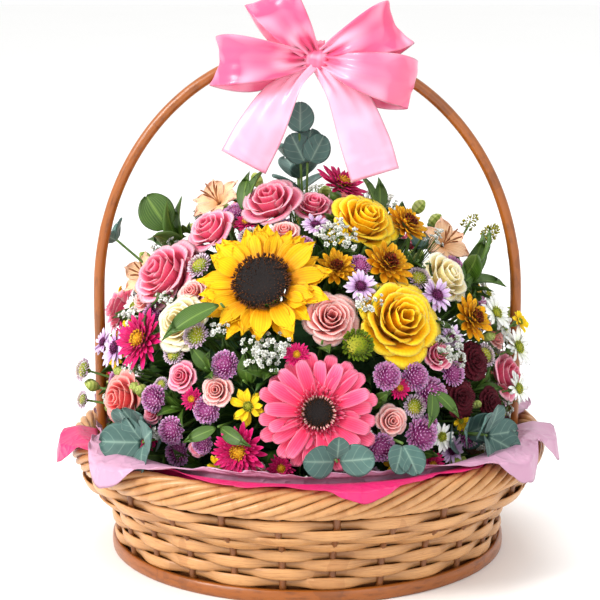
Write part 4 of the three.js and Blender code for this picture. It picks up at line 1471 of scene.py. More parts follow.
    def bud(self, radius: float) -> list[tuple[Shell, int]]:
        """Makes a closed bud of three folded petals on a short calyx.

        Args:
            radius: The bud's radius.

        Returns:
            Its shells, each with a finish number.
        """
        length = radius * 3
        body = turned([(r * radius, z * length) for r, z in BUD_PROFILE], 18, 0.07, 6)
        body.marks[:, 2] = 0.4
        calyx = [(0.0, -0.42), (0.55, -0.3), (0.6, -0.14), (0.3, -0.2), (0.0, -0.2)]
        return [(body, 0), (turned([(r * radius, z * length) for r, z in calyx], 10), 2)]

    def cushion(self, radius: float, height: float, low: float) -> Shell:
        """Makes a low rounded disc that closes the heart of a head."""
        return turned([(0.0, low), (radius * 0.8, low), (radius, low + height * 0.3),
                       (radius * 0.75, low + height * 0.8), (0.0, low + height)], 20)

    def head(self, kind: Kind, radius: float) -> list[tuple[Shell, int]]:
        """Makes a head.

        Args:
            kind: Its kind.
            radius: Its radius.

        Returns:
            Its shells, each with a finish number.
        """
        if kind is Kind.LILY:
            return self.lily(radius)
        if kind is Kind.BUD:
            return self.bud(radius)
        calyx = turned([(r * radius, z * radius) for r, z in CALYX_PROFILE], 12)
        if kind in ROSES:
            parts = [(s, 0) for s in self.rose(radius, ROSES[kind])]
            sepal = Petal(0.62, 0.2, root=0.7, waist=0.3, tip=0.05, rise=20, fall=-35, columns=3, rows=5)
            low = np.array([0.0, 0.0, -0.5 * radius])
            for i in range(5):
                parts.append((sepal.shell(radius).moved(upright(UP, i * TURN / 5), low), 2))
            return [*parts, (calyx, 2)]
        if kind is Kind.CARNATION:
            return [*((s, 0) for s in self.carnation(radius)), (calyx, 2)]
        parts = [(calyx, 2)] if kind not in (Kind.SUNFLOWER, Kind.GERBERA) else []
        if kind in DOMES:
            dome = DOMES[kind]
            parts.append((self.cushion(dome.radius * radius, dome.height * radius, -0.25 * radius), 1))
            return [*parts, (self.dome(dome, radius), 0)]
        for rays in RAYS[kind]:
            parts.append((self.whorls(rays, radius), 0))
        wide = 0.33 if kind is Kind.SUNFLOWER else 0.2
        parts.append((turned([(0.0, -0.2 * radius), (0.2 * radius, -0.14 * radius), (wide * radius, 0.0),
                              (wide * 0.9 * radius, 0.08 * radius), (0.0, 0.08 * radius)], 24), 2))
        if kind in CENTRES:
            high, centre = CENTRES[kind]
            up = np.array([0.0, 0.0, high * radius])
            parts.append((self.dome(centre, radius).moved(np.eye(3), up), 1))
            low = high * radius - 0.02 * radius
            disc = self.cushion(centre.radius * radius * 0.96, centre.height * centre.radius * radius, low)
            parts.append((disc, 1))
        return parts


@dataclass(frozen=True)
class Bloom:
    """One node's blooms: their kind, their heads and the stem they stand on."""

    node: str
    slot: str
    kinds: tuple[Kind, ...]
    heads: tuple[Head, ...]
    petal: str
    stem: tuple[float, float, float]
    heart: str = "golden_heart"

    def single(self) -> bool:
        """Tells whether it is one head on its own stem."""
        return len(self.heads) == 1


SUN_AT = (-17, 51, 184)
GERBERA_AT = (3, 19, 164)
SUN_RADIUS = 54.0
GERBERA_RADIUS = 47.0


def one(node: str, slot: str, kind: Kind, at: Place, radius: float, petal: str, stem: float = 2.4,
        heart: str = "golden_heart") -> Bloom:
    """Gives a single bloom on its own stem."""
    return Bloom(node, slot, (kind,), ((*at, radius),), petal, (at[0], at[1], stem), heart)


def many(node: str, slot: str, kind: Kind, stem: tuple[float, float], heads: list[Head], petal: str,
         heart: str = "golden_heart", thick: float = 1.9) -> Bloom:
    """Gives several heads of one kind on one stem."""
    return Bloom(node, slot, (kind,) * len(heads), tuple(heads), petal, (*stem, thick), heart)


BLOOMS = [
    one("sunflower_rays", "sunflower_petal", Kind.SUNFLOWER, SUN_AT, SUN_RADIUS, "sunflower", 3.6),
    one("gerbera_rays", "gerbera_petal", Kind.GERBERA, GERBERA_AT, GERBERA_RADIUS, "gerbera", 2.8),
    one("yellow_rose_low", "yellow_petal", Kind.ROSE, (31, 40, 180), 32, "yellow_rose"),
    one("yellow_rose_high", "yellow_petal", Kind.ROSE, (40, 69, 196), 26, "yellow_rose"),
    one("pink_rose_left", "pink_petal", Kind.ROSE, (-64, 48, 188), 30, "pink_rose"),
    one("pink_rose_centre", "blush_petal", Kind.ROSE, (8, 43, 176), 21, "blush_rose"),
    one("pink_rose_far_left", "pink_petal", Kind.SPRAY_ROSE, (-95, 32, 184), 20, "pink_rose"),
    one("salmon_rose", "salmon_petal", Kind.ROSE, (-61, 15, 174), 21, "salmon_rose"),
    one("pink_rose_right", "pink_petal", Kind.SPRAY_ROSE, (74, 18, 176), 19, "pink_rose"),
    one("cream_rose_left", "cream_petal", Kind.ROSE, (-43, 38, 182), 22, "cream_rose"),
    one("cream_rose_right", "cream_petal", Kind.SPRAY_ROSE, (62, 48, 186), 21, "cream_rose"),
    many("spray_roses_top", "pink_petal", Kind.SPRAY_ROSE, (-30, 76),
         [(-60, 63, 196, 20), (-36, 76, 202, 24), (8, 79, 196, 16)], "pink_rose"),
    one("yellow_rose_back", "yellow_petal", Kind.ROSE, (172, 50, 184), 31, "yellow_rose"),
    many("pink_roses_back", "pink_petal", Kind.SPRAY_ROSE, (-150, 40),
         [(-150, 62, 192, 24), (-158, 32, 176, 25), (-128, 42, 182, 22)], "pink_rose", thick=2.2),
    one("aster_left", "magenta_petal", Kind.ASTER, (-56, 31, 182), 25, "magenta", 1.8),
    one("aster_low", "magenta_petal", Kind.ASTER, (-18, 8, 168), 22, "magenta", 1.8),
    one("aster_top", "magenta_petal", Kind.ASTER, (70, 82, 206), 22, "magenta", 1.8),
    many("bronze_mums_front", "bronze_petal", Kind.BRONZE, (32, 56),
         [(35, 55, 188, 22), (66, 64, 196, 20), (12, 56, 186, 17)], "bronze", "russet_heart"),
    one("bronze_mum_right", "bronze_petal", Kind.BRONZE, (60, 36, 184), 20, "bronze", 1.6, "russet_heart"),
    many("bronze_mums_back", "bronze_petal", Kind.BRONZE, (-118, 18),
         [(-118, 24, 178, 20), (-104, 12, 176, 18), (-132, 14, 176, 19)], "bronze", "russet_heart"),
    many("pompons_left", "lilac_floret", Kind.POMPON, (-36, 20),
         [(-47, 18, 172, 12), (-39, 11, 170, 12), (-29, 18, 167, 12), (-25, 30, 172, 12), (-29, 9, 168, 9)],
         "lilac", "lilac_heart"),
    many("pompons_right", "lilac_floret", Kind.POMPON, (28, 21),
         [(23, 27, 174, 12), (32, 26, 173, 12), (37, 21, 170, 14), (32, 11, 168, 14), (20, 9, 166, 12)],
         "lilac", "lilac_heart"),
    many("pompons_back", "lilac_floret", Kind.POMPON, (153, 20),
         [(146, 34, 178, 14), (160, 26, 174, 15), (146, 18, 172, 14), (160, 12, 168, 14)], "lilac",
         "lilac_heart"),
    many("buttons_left", "pale_floret", Kind.BUTTON, (-36, 46), [(-34, 35, 187, 11), (-48, 53, 190, 11)],
         "pale_button", "lime_heart"),
    one("green_button", "green_floret", Kind.BUTTON, (15, 35, 180), 13, "green_button", 1.5, "lime_heart"),
    one("purple_daisy_left", "purple_white_petal", Kind.DAISY, (-72, 26, 180), 18, "purple_white", 1.4,
        "plum_heart"),
    many("purple_daisies_right", "purple_white_petal", Kind.DAISY, (34, 47),
         [(19, 49, 190, 14), (48, 44, 188, 16)], "purple_white", "plum_heart"),
    many("white_daisies_right", "white_petal", Kind.DAISY, (92, 26),
         [(88, 38, 186, 16), (80, 30, 186, 16), (96, 22, 182, 16)], "white", "lime_heart"),
    many("white_daisies_back", "white_petal", Kind.DAISY, (125, 30),
         [(122, 44, 184, 17), (128, 28, 178, 17), (112, 16, 176, 17)], "white", "lime_heart"),
    many("yellow_daisies", "lemon_petal", Kind.GOLD_DAISY, (-20, 14),
         [(-17, 20, 164, 15), (-24, 3, 166, 11)], "lemon", "lime_heart"),
    many("carnations_right", "burgundy_petal", Kind.CARNATION, (56, 20),
         [(58, 26, 176, 18), (48, 18, 172, 18), (61, 14, 174, 15)], "burgundy"),
    Bloom("alstroemeria_left", "peach_petal", (Kind.LILY, Kind.BUD, Kind.BUD),
          ((-88, 44, 188, 20), (-100, 52, 196, 4.5), (-106, 44, 194, 4.5)), "peach", (-98, 44, 1.9),
          "straw_heart"),
    Bloom("alstroemeria_top", "peach_petal", (Kind.LILY, Kind.BUD, Kind.BUD),
          ((-100, 68, 206, 22), (-125, 62, 202, 5), (-140, 72, 208, 5)), "peach", (-112, 68, 1.9),
          "straw_heart"),
    Bloom("alstroemeria_right", "peach_petal", (Kind.LILY, Kind.BUD, Kind.BUD),
          ((90, 54, 194, 22), (92, 64, 204, 5), (110, 56, 200, 5)), "peach", (96, 54, 1.9), "straw_heart"),
]

STEM = PlainFinish("stem_green", *tones("688a36 3a5c1c"), 160.0, 0.5, 0.0003)
BUD_FINISH = PetalFinish("striped_bud", *tones("84983e c4ce70 788c3c ece6b4"), 0.5, veins=3.0,
                         vein_share=0.6)
PETALS: dict[str, PetalFinish] = {
    "sunflower": PetalFinish("sunflower_petal", *tones("e08000 f2b404 f9c40a fcd028"), 0.3, veins=5.0,
                             vein_share=0.3, turn=0.4),
    "gerbera": PetalFinish("gerbera_petal", *tones("da1446 f24a76 fa7698 ffa0ba"), 0.55, veins=4.0,
                           vein_share=0.3, turn=0.6),
    "yellow_rose": PetalFinish("yellow_rose_petal", *tones("f0aa04 fac408 fdd41e ffe254"), 0.6,
                               tone("f4b006"), 0.4, turn=0.8, glow=0.3),
    "pink_rose": PetalFinish("pink_rose_petal", *tones("e64c78 f07c9c fab0c2 fed4d8"), 0.7, tone("e44270"),
                             0.7, turn=0.8, glow=0.2),
    "blush_rose": PetalFinish("blush_rose_petal", *tones("f08c8a f8aca8 feccc6 ffe2da"), 0.7,
                              tone("ee8282"), 0.6, turn=0.8, glow=0.25),
    "salmon_rose": PetalFinish("salmon_rose_petal", *tones("e85c62 f27c7a faa49c fec6b8"), 0.7,
                               tone("e8545c"), 0.5, turn=0.8, glow=0.2),
    "cream_rose": PetalFinish("cream_rose_petal", *tones("deca82 f0e0ac faf0d4 fffaec"), 0.6,
                              tone("ecda9c"), 0.4, turn=0.8, glow=0.3),
    "magenta": PetalFinish("magenta_petal", *tones("80002e cc085c e61e78 f4589c"), 0.45, tone("6e0023"),
                           0.4, veins=2.0),
    "bronze": PetalFinish("bronze_petal", *tones("822800 e29206 f6b80e fed03c"), 0.35, tone("540e08"), 0.9,
                          veins=2.0, turn=0.45),
    "lilac": PetalFinish("lilac_floret", *tones("bc3e98 e680d0 facef4 fee6fa"), 0.6, tone("922074"), 0.35,
                         glow=0.3, veins=1.0),
    "pale_button": PetalFinish("pale_floret", *tones("c896be e8c8e8 f8e8f6 fff4fc"), 0.4, tone("bec446"),
                               0.9, veins=1.0),
    "green_button": PetalFinish("green_floret", *tones("324a06 58740a 7a961a 96b030"), 0.4, tone("385006"),
                                0.6, veins=1.0),
    "purple_white": PetalFinish("purple_white_petal", *tones("781e6e deb2e6 f6e8fa fef6ff"), 0.4,
                                tone("5f0a54"), 0.35, veins=3.0, turn=0.4),
    "white": PetalFinish("white_petal", *tones("e2e8c8 f6f6f2 fcfcfa ffffff"), 0.3, veins=3.0),
    "lemon": PetalFinish("lemon_petal", *tones("d8a006 f6cc0e fdde22 ffe854"), 0.3, veins=4.0),
    "burgundy": PetalFinish("burgundy_petal", *tones("24020a 3e0612 580e1e 761e30"), 0.6, tone("1e0208"),
                            0.4, glow=0.0),
    "peach": PetalFinish("peach_petal", *tones("d69c60 f2cca4 fac8ac fcd6cc"), 0.4, tone("963c1e"), 0.0,
                         veins=7.0, vein_share=0.45),
}
HEARTS: dict[str, Finish] = {
    "lilac_heart": PetalFinish("lilac_heart", *tones("761e5c 963678 c064a2 d682be")),
    "golden_heart": PetalFinish("golden_heart", *tones("b46e05 e1a00f f0be28 f5cd3c")),
    "russet_heart": PetalFinish("russet_heart", *tones("3c0505 5a0c08 96320a be5a14")),
    "plum_heart": PetalFinish("plum_heart", *tones("3c052d 550a41 8c2d73 aa5096")),
    "lime_heart": PetalFinish("lime_heart", *tones("5a6e0a 96a51e cdc33c dcd25a")),
    "straw_heart": PetalFinish("straw_heart", *tones("be7846 e1aa78 965028 965028")),
}


class Garden:
    """Sets every bloom and spray on its stem."""

    def __init__(self, trees: Trees) -> None:
        """Keeps the florist.

        Args:
            trees: The trees that repeat shapes.
        """
        self.florist = Florist(trees)
        self.rng = np.random.default_rng(5)

    def stand(self, sheaf: Sheaf, bloom: Bloom) -> None:
        """Stands a node's heads on their stems.

        Args:
            sheaf: Where the shells go.
            bloom: The node's blooms.
        """
        azimuth, elevation, thick = bloom.stem
        base = on_mound(azimuth, elevation, STEM_END)
        fork = on_mound(azimuth, elevation, SPRAY_FORK)
        if not bloom.single():
            sheaf.add(rod(base, fork, thick), 2)
        for i, (kind, (a, e, reach, radius)) in enumerate(zip(bloom.kinds, bloom.heads)):
            place = on_mound(a, e, reach)
            start = base if bloom.single() else fork
            look = facing(a, e, 0.4 if kind is Kind.LILY else 0.85)
            end = place - look * radius * NECK
            sheaf.add(rod(start, end, thick if bloom.single() else thick * TWIG_SHARE), 2)
            turn = upright(look, float(self.rng.uniform(0, 6)) + i)
            for shell, finish in self.florist.head(kind, radius):
                number = 3 if kind is Kind.BUD and finish == 0 else finish
                sheaf.add(shell.moved(turn, place), number)

    def build(self) -> None:
        """Builds all blooms and the two big discs."""
        for bloom in BLOOMS:
            sheaf = Sheaf()
            self.stand(sheaf, bloom)
            finishes = [PETALS[bloom.petal], HEARTS[bloom.heart], STEM]
            if Kind.BUD in bloom.kinds:
                finishes.append(BUD_FINISH)
            sheaf.piece(bloom.node + "_petals", bloom.slot, finishes, (bloom.node,))
        self.disc("sunflower_disc", SUN_AT, SUN_RADIUS, 0.42, 3.0)
        self.disc("gerbera_disc", GERBERA_AT, GERBERA_RADIUS, 0.27, 2.5)

    def disc(self, node: str, at: Place, radius: float, share: float, recess: float) -> None:
        """Builds a dark disc of florets.

        Args:
            node: The disc's node.
            at: The head's place on the mound.
            radius: The head's radius.
            share: The disc's radius as a share of the head's.
            recess: How deep the disc sits in the head.
        """
        look = facing(at[0], at[1])
        place = on_mound(*at) + look * (2 * radius * 0.09 - recess + 0.35)
        wide = radius * share - 0.6
        turn = upright(look)
        sheaf = Sheaf()
        base = turned([(0.0, 0.0), (wide * 0.9, 0.0), (wide * 0.94, 0.8), (wide * 0.86, 1.8),
                       (wide * 0.6, 2.3), (wide * 0.3, 1.8), (0.0, 1.2)], 36)
        sheaf.add(base.moved(turn, place), 1)
        spike = Petal(0.12, 0.05, root=0.8, waist=0.3, tip=0.2, columns=3, rows=3, thickness=0.8)
        rim = Dome(spike, 420, 0.98, 0.12, 1.45, 0.0, 0.55, 1.25, 0.3)
        sheaf.add(self.florist.dome(rim, wide).moved(turn, place + look * 1.4))
        finishes = [PetalFinish(node + "_floret", *tones("0e0605 3c1c0e 8c4e1e 965622"), 0.5,
                                tone("0c0706"), 0.97, roughness=0.75, glow=0.0),
                    PlainFinish(node + "_bed", *tones("180c09 090505"), 500.0, 0.95, 0.001)]
        if node == "gerbera_disc":
            ring = Petal(0.46, 0.1, root=0.6, waist=0.8, tip=0.6, columns=3, rows=4, thickness=0.8)
            rays = Rays(ring, 34, 1, 0.84, 0.0, 1.0, 0.0, 0.0, 0.3)
            sheaf.add(self.florist.whorls(rays, wide).moved(turn, place + look * 1.5), 2)
            finishes.append(PetalFinish("stamen_ring", *tones("5a0a1e e89696 fcd6c8 ffe6dc"), 0.4))
        sheaf.piece(node + "_florets", node, finishes, (node,))


EUCALYPTUS = LeafFinish("eucalyptus_leaf", *tones("1c3c36 4a7068 84a292"), roughness=0.55, bloom=0.12)
GREEN = LeafFinish("green_leaf", *tones("16320a 406216 76943e"), True)
# A darker copy of the green leaf: painted shade for the leaves deep in the mound
SHADOW_LEAF = LeafFinish("under_leaf", *tones("102a0a 325818 608236"), True, 0.5)

TINY_WHITE = PetalFinish("tiny_white_floret", *tones("d7dcb9 f4f4ec fefefa ffffff"), 0.3, veins=1.0)


@dataclass(frozen=True)
class Leafy:
    """One node's leafy stem: where it ends and its leaves, each as start, turn, lean, length, width."""

    node: str
    slot: str
    at: Place
    leaves: tuple[tuple[float, float, float, float, float], ...]
    thick: float = 1.6


def round_leaves(start: float, pitch: float, length: float, turns: list[float]) -> tuple:
    """Gives round leaves in pairs up a stem, by their turns."""
    return tuple((start + (i // 2) * pitch, turn, 62 - 3 * i, length, length * 0.95)
                 for i, turn in enumerate(turns))


def fan(start: float, leaves: list[tuple[float, float, float, float]]) -> tuple:
    """Gives pointed leaves from one place, each as turn, lean, length and width."""
    return tuple((start, *leaf) for leaf in leaves)


LEAFY = [
    Leafy("eucalyptus_left", "eucalyptus_leaf", (-50, 8, 180),
          round_leaves(154, 12, 28, [-8, 176, 50, 125, 88])),
    Leafy("eucalyptus_front", "eucalyptus_leaf", (9, 0, 165), round_leaves(144, 13, 20, [0, 180, 80, 260])),
    Leafy("eucalyptus_right", "eucalyptus_leaf", (50, 8, 178),
          round_leaves(152, 12, 27, [-12, 192, 20, 160, 60])),
    Leafy("eucalyptus_top", "eucalyptus_leaf", (-160, 84, 222),
          round_leaves(196, 11, 27, [0, 180, 80, 260, 160])),
    Leafy("leaves_centre", "green_leaf", (-26, 32, 158),
          fan(136, [(70, 24, 44, 15), (160, 44, 44, 16), (230, 40, 36, 14)])),
    Leafy("leaves_right", "green_leaf", (82, 45, 198),
          fan(178, [(20, 40, 46, 16), (150, 34, 52, 17), (95, 14, 54, 16), (250, 50, 42, 15)])),
    Leafy("leaves_left", "green_leaf", (-86, 56, 207),
          (*fan(178, [(200, 40, 48, 16), (60, 30, 50, 16), (120, 14, 52, 16), (320, 50, 44, 15)]),
           (204, 0, 14, 32, 30))),
    Leafy("leaves_back", "green_leaf", (-176, 14, 172),
          fan(146, [(0, 55, 52, 18), (60, 40, 50, 17), (120, 40, 52, 18), (180, 55, 50, 18)])),
]
MISTS = [("gypsophila_top", (14, 64, 196), 17, 8), ("gypsophila_centre", (-12, 33, 177), 15, 10),
         ("gypsophila_right", (44, 32, 180), 17, 8), ("gypsophila_back", (-178, 70, 196), 24, 8)]


def axes(azimuth: float, elevation: float) -> tuple[np.ndarray, np.ndarray, np.ndarray]:
    """Gives a stem's own directions.

    Args:
        azimuth: Degrees from the front towards +X.
        elevation: Degrees above the horizon.

    Returns:
        The direction along it, to its side and up from it.
    """
    axis = toward(azimuth, elevation)
    side = np.cross(axis, UP)
    side = side / np.linalg.norm(side)
    return axis, side, np.cross(side, axis)


class Greenery:
    """Leafy stems, gypsophila, golden-rod and the leaves that fill the mound, darkened with painted shade."""

    def __init__(self, trees: Trees) -> None:
        """Keeps the florist and makes the floret that gypsophila repeats.

        Args:
            trees: The trees that repeat shapes.
        """
        self.florist = Florist(trees)
        self.rng = np.random.default_rng(9)
        petal = Petal(1.0, 0.9, root=0.4, waist=0.6, tip=0.6, cup=0.2, rise=50, columns=3, rows=3,
                      thickness=0.3)
        self.floret = self.florist.whorls(Rays(petal, 5, 2, 0.1, 0.1, 0.1, 0.5, 0.3, 0.3), 2.2)

    def leafy(self, stem: Leafy) -> None:
        """Builds one leafy stem.

        Args:
            stem: The stem and its leaves.
        """
        axis, side, up = axes(stem.at[0], stem.at[1])
        sheaf = Sheaf()
        sheaf.add(rod(on_mound(stem.at[0], stem.at[1], STEM_END), on_mound(*stem.at), stem.thick), 1)
        for start, turn, lean, length, width in stem.leaves:
            a, tilt = math.radians(turn), math.radians(lean)
            out = side * math.cos(a) + up * math.sin(a)
            direction = axis * math.cos(tilt) + out * math.sin(tilt)
            face = axis * math.sin(tilt) - out * math.cos(tilt)
            if width > 0.8 * length:
                shape = Petal(1.0, width / length, root=0.12, waist=0.5, tip=0.08, point=0.0, cup=0.1,
                              rise=14, fall=-14, columns=9, rows=15, thickness=0.6, blunt=0.55)
            else:
                shape = Petal(1.0, width / length * 1.15, root=0.3, waist=0.38, tip=0.04, point=0.3,
                              cup=0.2, rise=20, fall=-30, ruffle=0.01, columns=9, rows=13, thickness=0.6)
            shell = shape.shell(length, float(self.rng.uniform(0, 1)), turn)
            sheaf.add(shell.moved(along_to(direction, face), on_mound(stem.at[0], stem.at[1], start)), 0)
        finish = EUCALYPTUS if stem.slot == "eucalyptus_leaf" else GREEN
        sheaf.piece(stem.node + "_blades", stem.slot, [finish, STEM], (stem.node,))

    def puff(self, sheaf: Sheaf, fork: np.ndarray, place: np.ndarray, axis: np.ndarray,
             florets: int) -> None:
        """Adds one twig with a cloud of tiny white flowers.

        Args:
            sheaf: Where the shells go.
            fork: Where the twig starts.
            place: The middle of the cloud.
            axis: The way it looks.
            florets: How many flowers it has.
        """
        inner = fork + (place - fork) * 0.72
        sheaf.add(rod(fork, inner, 0.55, 0.6, 4), 1)
        for _ in range(florets):
            offset = self.rng.normal(0, 1, 3)
            offset = offset / np.linalg.norm(offset) * self.rng.uniform(2.5, 8.0) + axis * 2.5
            sheaf.add(rod(inner, place + offset, 0.28, 0.3, 3), 1)
            turn = upright(axis + offset * 0.12, float(self.rng.uniform(0, 6)))
            sheaf.add(self.floret.moved(turn, place + offset, float(self.rng.uniform(0.75, 1.3))), 0)

    def mist(self, node: str, at: Place, spread: float, count: int) -> None:
        """Builds a spray of tiny white flowers on fine twigs.

        Args:
            node: The spray's node.
            at: Its place on the mound.
            spread: Its radius.
            count: How many twigs it has.
        """
        axis, side, up = axes(at[0], at[1])
        fork = on_mound(at[0], at[1], at[2] - spread * 1.6)
        sheaf = Sheaf()
        sheaf.add(rod(on_mound(at[0], at[1], STEM_END), fork, 1.5), 1)
        for i in range(count):
            r = spread * math.sqrt((i + 0.4) / count)
            turn = i * 2.4
            place = on_mound(at[0], at[1], at[2] + (i % 3) * 4 - r * 0.25)
            self.puff(sheaf, fork, place + side * r * math.cos(turn) + up * r * math.sin(turn), axis, 9)
        sheaf.piece(node + "_florets", "tiny_white_floret", [TINY_WHITE, STEM], (node,))

    def goldenrod(self) -> None:
        """Builds the golden-rod sprig: three plumes of small buds."""
        sheaf = Sheaf()
        fork = on_mound(104, 42, SPRAY_FORK)
        sheaf.add(rod(on_mound(104, 42, STEM_END), fork, 1.5), 1)
        bead = Petal(0.36, 0.3, root=0.4, waist=0.5, tip=0.2, cup=0.2, rise=20, fall=0, columns=3, rows=4,
                     thickness=0.6)
        for a, e, reach in ((100, 46, 222), (106, 44, 224), (104, 50, 218)):
            place = on_mound(a, e, reach)
            sheaf.add(rod(fork, place, 1.1, 0.0, 5), 1)
            look = toward(a, e)
            plume = self.florist.dome(Dome(bead, 60, 0.55, 2.6, 2.0, 0.4, 0.8, 1.2, 0.3), 6.5)
            sheaf.add(plume.moved(upright(look), place - look * 2), 0)
        gold = PetalFinish("golden_floret", *tones("50640f 96961e beb432 cdc346"))
        sheaf.piece("goldenrod_plumes", "golden_floret", [gold, STEM], ("goldenrod",))

    def filling(self) -> None:
        """Fills the mound with leaves on stalks, darkened with painted shade, in two layers over the foam."""
        blade = Petal(1.0, 0.42, root=0.2, waist=0.45, tip=0.08, point=0.25, cup=0.2, rise=30, fall=-40,
                      columns=5, rows=6, thickness=0.5)
        path = np.array([[-26.0, 0.0, 0.0], [-12.0, 0.0, 0.0], [2.0, 0.0, 0.0]])
        stalk = tube(path, np.full(3, 0.7), 4)
        for name, count, radius, length, seed in (("under_leaves_deep", 230, 128.0, 46.0, 3),
                                                  ("under_leaves", 300, 143.0, 38.0, 4)):
            layer = Dome(blade, count, 1.0, 1.0, 1.62, 0.5, 0.8, 1.0, 0.35)
            grown = self.florist.cover(layer, radius, joined([blade.shell(length), stalk]), 1.2, seed)
            rise = np.clip(grown.points[:, 2:] / np.linalg.norm(grown.points, axis=1, keepdims=True), 0, 1)
            whole = replace(grown, points=grown.points * (0.85 + 0.17 * rise) + FOCUS)
            Sheaf(whole).piece(name, "green_leaf", [SHADOW_LEAF])

    def build(self) -> None:
        """Builds all greenery."""
        for stem in LEAFY:
            self.leafy(stem)
        for mist in MISTS:
            self.mist(*mist)
        self.goldenrod()
        self.filling()


class Filler(Enum):
    """What closes a gap between the blooms."""

    MIST = "mist"
    LEAF = "leaves"
    ROUND = "round_leaves"
    WHITE = "white_daisies"
    PURPLE = "purple_daisies"
    GOLD = "gold_daisies"
    ROSE = "small_roses"
    BLUSH = "blush_roses"
    LILAC = "lilac_buttons"
    PALE = "pale_buttons"
    MAGENTA = "magenta_asters"
    BUD = "striped_buds"


# What goes into one gap after another
ORDER = (Filler.MIST, Filler.LEAF, Filler.PURPLE, Filler.BUD, Filler.LILAC, Filler.LEAF, Filler.ROSE,
         Filler.MIST, Filler.PALE, Filler.LEAF, Filler.BUD, Filler.GOLD, Filler.ROUND, Filler.BLUSH,
         Filler.LEAF, Filler.WHITE, Filler.MAGENTA)
# The kind, petal finish, slot, heart finish and share of the room of each small flower
SMALL: dict[Filler, tuple[Kind, str, str, str, float]] = {
    Filler.WHITE: (Kind.DAISY, "white", "white_petal", "lime_heart", 1.0),
    Filler.PURPLE: (Kind.DAISY, "purple_white", "purple_white_petal", "plum_heart", 1.0),
    Filler.GOLD: (Kind.GOLD_DAISY, "lemon", "lemon_petal", "lime_heart", 1.0),
    Filler.ROSE: (Kind.SPRAY_ROSE, "pink_rose", "pink_petal", "golden_heart", 1.0),
    Filler.BLUSH: (Kind.SPRAY_ROSE, "blush_rose", "blush_petal", "golden_heart", 1.0),
    Filler.LILAC: (Kind.BUTTON, "lilac", "lilac_floret", "lilac_heart", 0.95),
    Filler.PALE: (Kind.BUTTON, "pale_button", "pale_floret", "lime_heart", 0.85),
    Filler.MAGENTA: (Kind.ASTER, "magenta", "magenta_petal", "golden_heart", 1.0),
    Filler.BUD: (Kind.BUD, "peach", "green_leaf", "lime_heart", 0.42),
}
# Kind, azimuth, elevation, reach and stand of each sprig, and turn and length of each of its leaves
SPRIGS = ((Filler.LEAF, -28, 43, 193, 0.12, ((-46, 54),)),
          (Filler.LEAF, -66, 38, 178, 0.35, ((200, 36), (150, 40))),
          (Filler.LEAF, -60, 72, 196, 0.9, ((100, 40), (60, 36))),
          (Filler.LEAF, 60, 70, 196, 0.9, ((80, 38), (130, 34))),
          (Filler.LEAF, -24, 14, 172, 0.3, ((200, 34), (-30, 30))),
          (Filler.LEAF, 36, 22, 176, 0.3, ((-60, 34), (240, 30))),
          (Filler.ROUND, -45, 7, 182, 0.5, ((150, 31), (232, 27), (-8, 34), (60, 22))),
          (Filler.ROUND, 53, 7, 178, 0.5, ((95, 26), (-45, 27), (182, 26), (222, 30))),
          (Filler.ROUND, 7, 7, 184, 0.45, ((172, 28), (6, 28), (92, 20))),
          (Filler.ROUND, 24, 10, 180, 0.4, ((255, 25), (300, 24))),
          (Filler.ROUND, -92, 45, 222, 0.6, ((100, 18), (30, 16), (180, 16))),
          (Filler.ROUND, 0, 87, 224, 1.1, ((10, 26), (100, 28), (175, 25))),
          (Filler.ROUND, -30, 87, 248, 1.5, ((80, 25),)),
          (Filler.ROUND, 128, 8, 176, 0.5, ((40, 28), (150, 30), (-80, 26))),
          (Filler.ROUND, -140, 8, 176, 0.5, ((20, 30), (140, 28), (250, 24))))
FAR = ((Filler.PALE, -80, 17, 194, 12), (Filler.PALE, -78, 10, 190, 9), (Filler.BUD, -77, 14, 183, 10),
       (Filler.PURPLE, -80, 25, 186, 12), (Filler.WHITE, 75, 24, 192, 17), (Filler.WHITE, 74, 34, 190, 16),
       (Filler.GOLD, 79, 29, 200, 11), (Filler.WHITE, 70, 15, 186, 14), (Filler.PALE, -102, 20, 186, 10),
       (Filler.LILAC, 101, 16, 184, 12), (Filler.BUD, 100, 28, 192, 10), (Filler.GOLD, -101, 33, 192, 11))


# The slot and finishes of what isn't a small flower
GREENS: dict[Filler, tuple[str, list[Finish]]] = {
    Filler.MIST: ("tiny_white_floret", [TINY_WHITE, STEM]),
    Filler.LEAF: ("green_leaf", [GREEN, STEM]),
    Filler.ROUND: ("eucalyptus_leaf", [EUCALYPTUS, STEM]),
}


